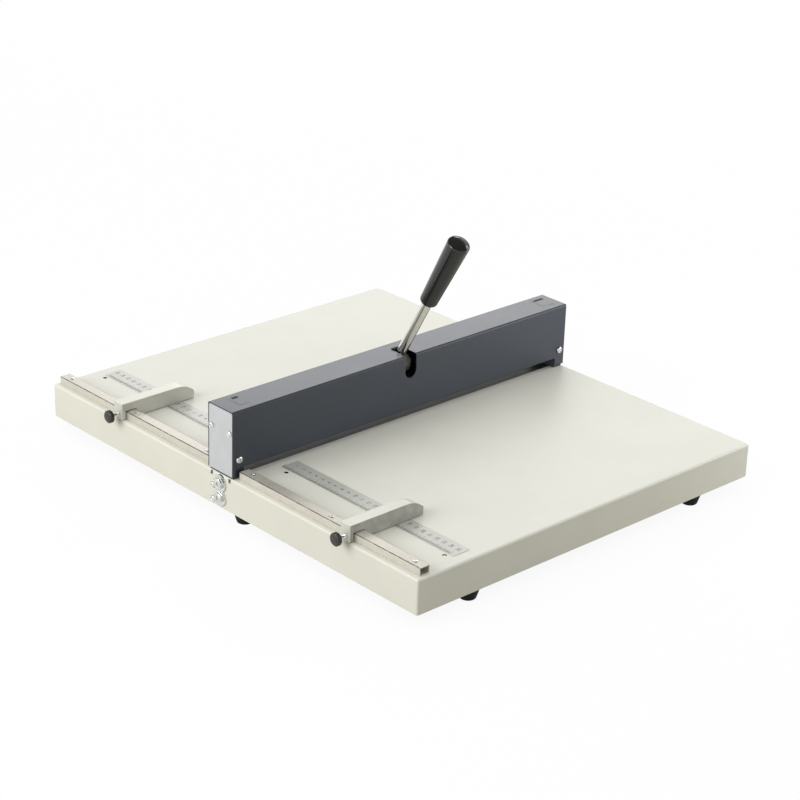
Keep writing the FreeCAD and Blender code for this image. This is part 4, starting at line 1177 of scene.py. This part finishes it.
@dataclass
class RulePrint:
    """Lines and figures printed on one of the two rules."""

    name: str
    side: int
    edge_x: float = -184.0
    top_z: float = 50.6
    zero_y: float = 26.4
    margin: float = 0.5
    film: float = 0.03
    centimetres: int = 25
    line_width: float = 0.36
    reaches: Triple = (3.2, 4.8, 6.4)
    figure_x: float = -170.6
    figure_size: float = 6.0
    figure_weight: float = 0.04

    def _lines(self, count: int, pitch: float, start: float, reach: float) -> bpy.types.Object:
        """Print a row of lines across the rule's edge.

        Args:
            count: How many lines.
            pitch: Distance from one to the next, in millimetres.
            start: Distance of the first from the rule's zero.
            reach: Length of a line.

        Returns:
            The row.
        """
        x = self.edge_x + self.margin + reach / 2
        y = self.side * (self.zero_y + start)
        line = Bench.block((reach, self.line_width, self.film), (x, y, self.top_z + self.film / 2))
        Bench.repeat(line, count, (0.0, self.side * pitch, 0.0))
        return line

    def _figure(self, number: int) -> bpy.types.Object:
        """Print one number upright for a reader in front of the machine."""
        Bench.clear()
        place = (self.figure_x, self.side * (self.zero_y + 10.0 * number), self.top_z + self.film / 2)
        bpy.ops.object.text_add(location=Vector(place) * MM)
        text = bpy.context.active_object
        text.data.body = str(number)
        text.data.size = self.figure_size * MM
        text.data.align_x = "CENTER"
        text.data.align_y = "CENTER"
        text.data.extrude = self.film * MM / 2
        text.data.offset = self.figure_weight * MM
        text.data.resolution_u = 3
        bpy.ops.object.convert(target="MESH")
        return Bench.settled(bpy.context.active_object)

    def build(self, paints: Paints) -> bpy.types.Object:
        """Print the rule.

        Args:
            paints: The materials.

        Returns:
            The print as one piece.
        """
        millimetre, half, whole = self.reaches
        pieces = [
            self._lines(self.centimetres * 10 + 1, 1.0, 0.0, millimetre),
            self._lines(self.centimetres, 10.0, 5.0, half),
            self._lines(self.centimetres + 1, 10.0, 0.0, whole),
        ]
        pieces += [self._figure(number) for number in range(1, self.centimetres + 1)]
        piece = Bench.join(pieces, self.name)
        paints.wear(piece, PRINT_INK)
        hand_over(piece, "base")
        return piece


@dataclass
class Gauges(SubAssembly):
    """Rails, rules and the screws that hold the rails."""

    title: str = "gauges"
    nodes: tuple[str, ...] = ("front_rail", "rear_rail", "rail_nuts", "front_ruler", "rear_ruler")
    rail_screw_x: float = -230.5
    rail_top: float = 59.0
    rail_screw_ys: tuple[float, ...] = (38.0, 158.5, 279.0)
    rail_screw_reach: float = 14.5

    def pieces(self, paints: Paints) -> list[bpy.types.Object]:
        """See SubAssembly."""
        seats = [Seat((self.rail_screw_x, side * y, self.rail_top), Axis.UP, self.rail_screw_reach)
                 for side in (-1, 1) for y in self.rail_screw_ys]
        return [
            Fasteners("rail_screws", "base", *FLAT_HEAD, seats).build(paints),
            RulePrint("front_rule_print", -1).build(paints),
            RulePrint("rear_rule_print", 1).build(paints),
        ]


@dataclass
class Stop(SubAssembly):
    """One side stop with its clamp screw and knob."""

    end: str = "front"
    outer_x: float = -255.2
    inner_x: float = -237.3
    axis_z: float = 55.8
    radius: float = 2.0
    pitch: float = 0.7
    root: float = 0.84
    chamfer: float = 0.5

    def __post_init__(self) -> None:
        """Name the stop's nodes and find the outer side of its casting."""
        fence, knob = f"{self.end}_stop_fence", f"{self.end}_clamp_knob"
        self.title, self.nodes = f"{self.end} stop", (fence, knob)
        outer_y = max(abs(corner[1]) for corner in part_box(fence)) / MM
        casting = replace(FINISHES["stop_alloy"], label=f"{self.end} stop casting", outer_y=outer_y)
        self.special = {fence: casting, knob: KNOB_MOULDING}

    def pieces(self, paints: Paints) -> list[bpy.types.Object]:
        """See SubAssembly."""
        screw, body = f"{self.end}_clamp_screw", f"{self.end}_clamp"
        length = self.inner_x - self.outer_x
        ridges = int(length / self.pitch) - 2
        tip = (length - ridges * self.pitch) / 2
        rod = Bench.cylinder(self.radius, tip, 24)
        Bench.pick_faces(rod, lambda middle, normal: normal.z > 0.9)
        for _ in range(ridges):
            for rise, spread in ((0.4, self.root), (0.1, 1.0), (0.4, 1 / self.root), (0.1, 1.0)):
                Bench.raise_ring(self.pitch * rise, spread)
        Bench.raise_ring(tip - self.chamfer, 0.9)
        Bench.raise_ring(self.chamfer, 0.7)
        Bench.clear()
        place = Vector((self.outer_x, middle_of(screw).y, self.axis_z)) * MM
        rod.data.transform(Matrix.Translation(place) @ Axis.RIGHT.turn())
        rod.name = screw + "_threaded"
        Bench.hold(rod)
        bpy.ops.object.shade_smooth_by_angle(angle=math.radians(30.0))
        slot = SLOTS[screw]
        paints.wear(rod, FINISHES[slot])
        hand_over(rod, body, screw)
        return [rod]


@dataclass
class ReturnSprings:
    """Flat-wire coils in the uprights' pockets, which the press bar's tongues push together on the real
    machine; here they stay rigid on the base.
    """

    node: str = "return_springs"
    middle_x: float = 233.7
    low_z: float = 52.0
    high_z: float = 80.0
    coil_radius: float = 3.5
    wire: tuple[float, float] = (1.2, 1.0)
    turns: int = 7
    steps: int = 28
    edge: float = 0.12
    kept: float = 0.79

    def _coil(self) -> bpy.types.Object:
        """Wind one upright coil by sweeping the wire's section round the Z axis.

        Returns:
            The coil, with its lower end at the origin's level.
        """
        wide, high = self.wire
        Bench.clear()
        bpy.ops.mesh.primitive_plane_add(size=1.0)
        coil = bpy.context.active_object
        turn = Matrix.Rotation(math.radians(90.0), 4, "X")
        size = Matrix.Diagonal((wide * MM, high * MM, 1.0, 1.0))
        place = Matrix.Translation((self.coil_radius * MM, 0.0, high * MM / 2))
        coil.data.transform(place @ turn @ size)
        modifier = coil.modifiers.new("winding", "SCREW")
        modifier.steps = modifier.render_steps = self.steps
        modifier.iterations = self.turns
        modifier.screw_offset = (self.high_z - self.low_z - high) * MM / self.turns
        modifier.use_merge_vertices = False
        Bench.hold(coil)
        bpy.ops.object.modifier_apply(modifier=modifier.name)
        bpy.ops.object.mode_set(mode="EDIT")
        bpy.ops.mesh.select_all(action="SELECT")
        bpy.ops.mesh.fill_holes(sides=4)
        bpy.ops.mesh.normals_make_consistent(inside=False)
        Bench.soften(coil, self.edge, angle=50.0)
        return coil

    def build(self, paints: Paints) -> bpy.types.Object:
        """Wind, place and dress both springs.

        Args:
            paints: The materials.

        Returns:
            Both springs as one piece.
        """
        master = self._coil()
        places = [Vector((side * self.middle_x, 0.0, self.low_z)) * MM for side in (-1, 1)]
        springs = [Bench.copied(master, Matrix.Translation(place)) for place in places]
        bpy.data.objects.remove(master)
        piece = Bench.join(springs, self.node + "_wound")
        slot = SLOTS[self.node]
        paints.wear(piece, FINISHES[slot])
        hand_over(piece, "base", self.node)
        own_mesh(piece)
        return piece


@dataclass
class Press(SubAssembly):
    """Press bar with its blade, pads and clamp screws, and the springs below it."""

    title: str = "press"
    nodes: tuple[str, ...] = ("press_bar", "crease_blade", "blade_clamp", "wear_pads", "wear_pad_screws")
    clamp_face: float = -8.7
    clamp_z: float = 73.5
    clamp_xs: tuple[float, ...] = (-190.58, -114.35, -38.12, 38.12, 114.35, 190.58)
    clamp_reach: float = 14.9

    def pieces(self, paints: Paints) -> list[bpy.types.Object]:
        """See SubAssembly."""
        seats = [Seat((x, self.clamp_face, self.clamp_z), Axis.FRONT, self.clamp_reach)
                 for x in self.clamp_xs]
        screws = Fasteners("blade_clamp_screws", "press", *SOCKET_HEAD, seats, Drive.HEX_SOCKET)
        return [screws.build(paints), ReturnSprings().build(paints)]


@dataclass
class Lever(SubAssembly):
    """Camshaft with its hub, rod and grip."""

    title: str = "lever"
    nodes: tuple[str, ...] = ("camshaft", "left_cam", "right_cam", "set_screws", "shaft_collars",
                              "lever_hub", "hub_pins", "lever_rod", "lever_grip")


# ---- Studio ------------------------------------------------------------------------------
@dataclass
class Lamp:
    """One soft square lamp: its place and size in metres, and its power in watts."""

    name: str
    place: Triple
    size: float
    watts: float
    target: Triple = (0.0, 0.0, 0.05)

    def hang(self) -> None:
        """Hang the lamp so that it faces its target."""
        data = bpy.data.lights.new(self.name, "AREA")
        data.shape = "SQUARE"
        data.size = self.size
        data.energy = self.watts
        lamp = bpy.data.objects.new(self.name, data)
        lamp.visible_camera = False
        aim = Vector(self.target) - Vector(self.place)
        turn = aim.to_track_quat("-Z", "Y").to_matrix().to_4x4()
        lamp.matrix_world = Matrix.Translation(self.place) @ turn
        bpy.context.collection.objects.link(lamp)


@dataclass
class Studio:
    """Camera, lamps, sky and floor."""

    azimuth: float = -43.3731
    elevation: float = 23.7369
    roll: float = 1.9124
    eye: Triple = (-1556.03, -1653.56, 1064.43)
    lens: float = 102.563
    floor_reach: float = 12.0
    floor_tone: Color = (0.26, 0.24, 0.16)
    mirrored_tone: Color = (0.95, 0.95, 0.95)
    glow_share: float = 0.92
    sky: Color = (0.61, 0.62, 0.618)
    ceiling: float = 0.22
    ceiling_rise: tuple[float, float] = (0.44, 0.62)
    lamps: list[Lamp] = field(default_factory=lambda: [
        Lamp("left_window", (-2.6, 0.5, 1.3), 1.8, 52.0),
        Lamp("back_panel", (1.9, 2.0, 1.25), 1.6, 15.0),
        Lamp("right_window", (2.2, -0.7, 1.2), 0.9, 9.5),
        Lamp("low_panel", (0.62, -0.5, 0.16), 0.3, 1.1),
    ])

    def camera(self) -> None:
        """Set up the camera."""
        azimuth, elevation = math.radians(self.azimuth), math.radians(self.elevation)
        back = Vector((math.sin(azimuth) * math.cos(elevation),
                       -math.cos(azimuth) * math.cos(elevation), math.sin(elevation)))
        right = (-back).cross(Axis.UP.vector).normalized()
        up = back.cross(right)
        level = Matrix((right, up, back)).transposed().to_4x4()
        data = bpy.data.cameras.new("camera")
        data.sensor_width = 36.0
        data.lens = self.lens
        data.clip_start = 0.05
        data.clip_end = 100.0
        camera = bpy.data.objects.new("camera", data)
        turn = Matrix.Rotation(math.radians(self.roll), 4, "Z")
        camera.matrix_world = Matrix.Translation(Vector(self.eye) * MM) @ level @ turn
        bpy.context.collection.objects.link(camera)
        bpy.context.scene.camera = camera

    def world(self) -> None:
        """Light the room evenly, show white to the camera, and dim the ceiling in reflections."""
        world = bpy.data.worlds.new("room")
        bpy.context.scene.world = world
        world.use_nodes = True
        graph = Graph(world.node_tree)
        height = graph.axes(graph.node("ShaderNodeTexCoord").outputs["Generated"])[2]
        shine = graph.blend(height.smooth(*self.ceiling_rise), (1.0, 1.0, 1.0), (self.ceiling,) * 3)
        mirrored = graph.blend(graph.rays("Is Camera Ray"), shine, (1.0, 1.0, 1.0))
        shown = graph.rays("Is Camera Ray", "Is Glossy Ray", "Is Transmission Ray")
        color = graph.blend(shown, self.sky, mirrored)
        background = graph.node("ShaderNodeBackground", None, {"Color": color, "Strength": 1.0})
        graph.close(background, "ShaderNodeOutputWorld")

    def floor(self) -> None:
        """Lay a pale floor that keeps a soft shadow and otherwise shows white."""
        Bench.clear()
        bpy.ops.mesh.primitive_plane_add(size=self.floor_reach, location=(0.0, 0.0, 0.0))
        floor = bpy.context.active_object
        floor.name = "floor"
        made = bpy.data.materials.new("pale floor")
        made.use_nodes = True
        graph = Graph(made.node_tree)
        shown = graph.rays("Is Camera Ray", "Is Glossy Ray", "Is Transmission Ray")
        tone = graph.blend(shown, self.floor_tone, self.mirrored_tone)
        matt = graph.node("ShaderNodeBsdfDiffuse", None, {"Color": tone})
        glow = graph.node("ShaderNodeEmission", None, {"Color": (1.0, 1.0, 1.0), "Strength": 1.0})
        mix = graph.node("ShaderNodeMixShader", None,
                         {0: shown * self.glow_share, 1: matt.outputs[0], 2: glow.outputs[0]})
        graph.close(mix)
        floor.data.materials.append(made)

    def build(self) -> None:
        """Set the whole studio up."""
        bpy.context.scene.view_settings.view_transform = "Standard"
        self.camera()
        self.world()
        self.floor()
        for lamp in self.lamps:
            lamp.hang()
        LOG.info("studio: %d lamps", len(self.lamps))


def main() -> None:
    """Build the studio and every sub-assembly."""
    logging.basicConfig(level=logging.INFO, format="%(message)s")
    Studio().build()
    paints = Paints()
    groups = [
        Table(), Bridge(), Gauges(),
        Stop(end="front"), Stop(end="rear"), Press(), Lever(),
    ]
    for group in groups:
        group.build(paints)


if __name__ == "__main__":
    main()
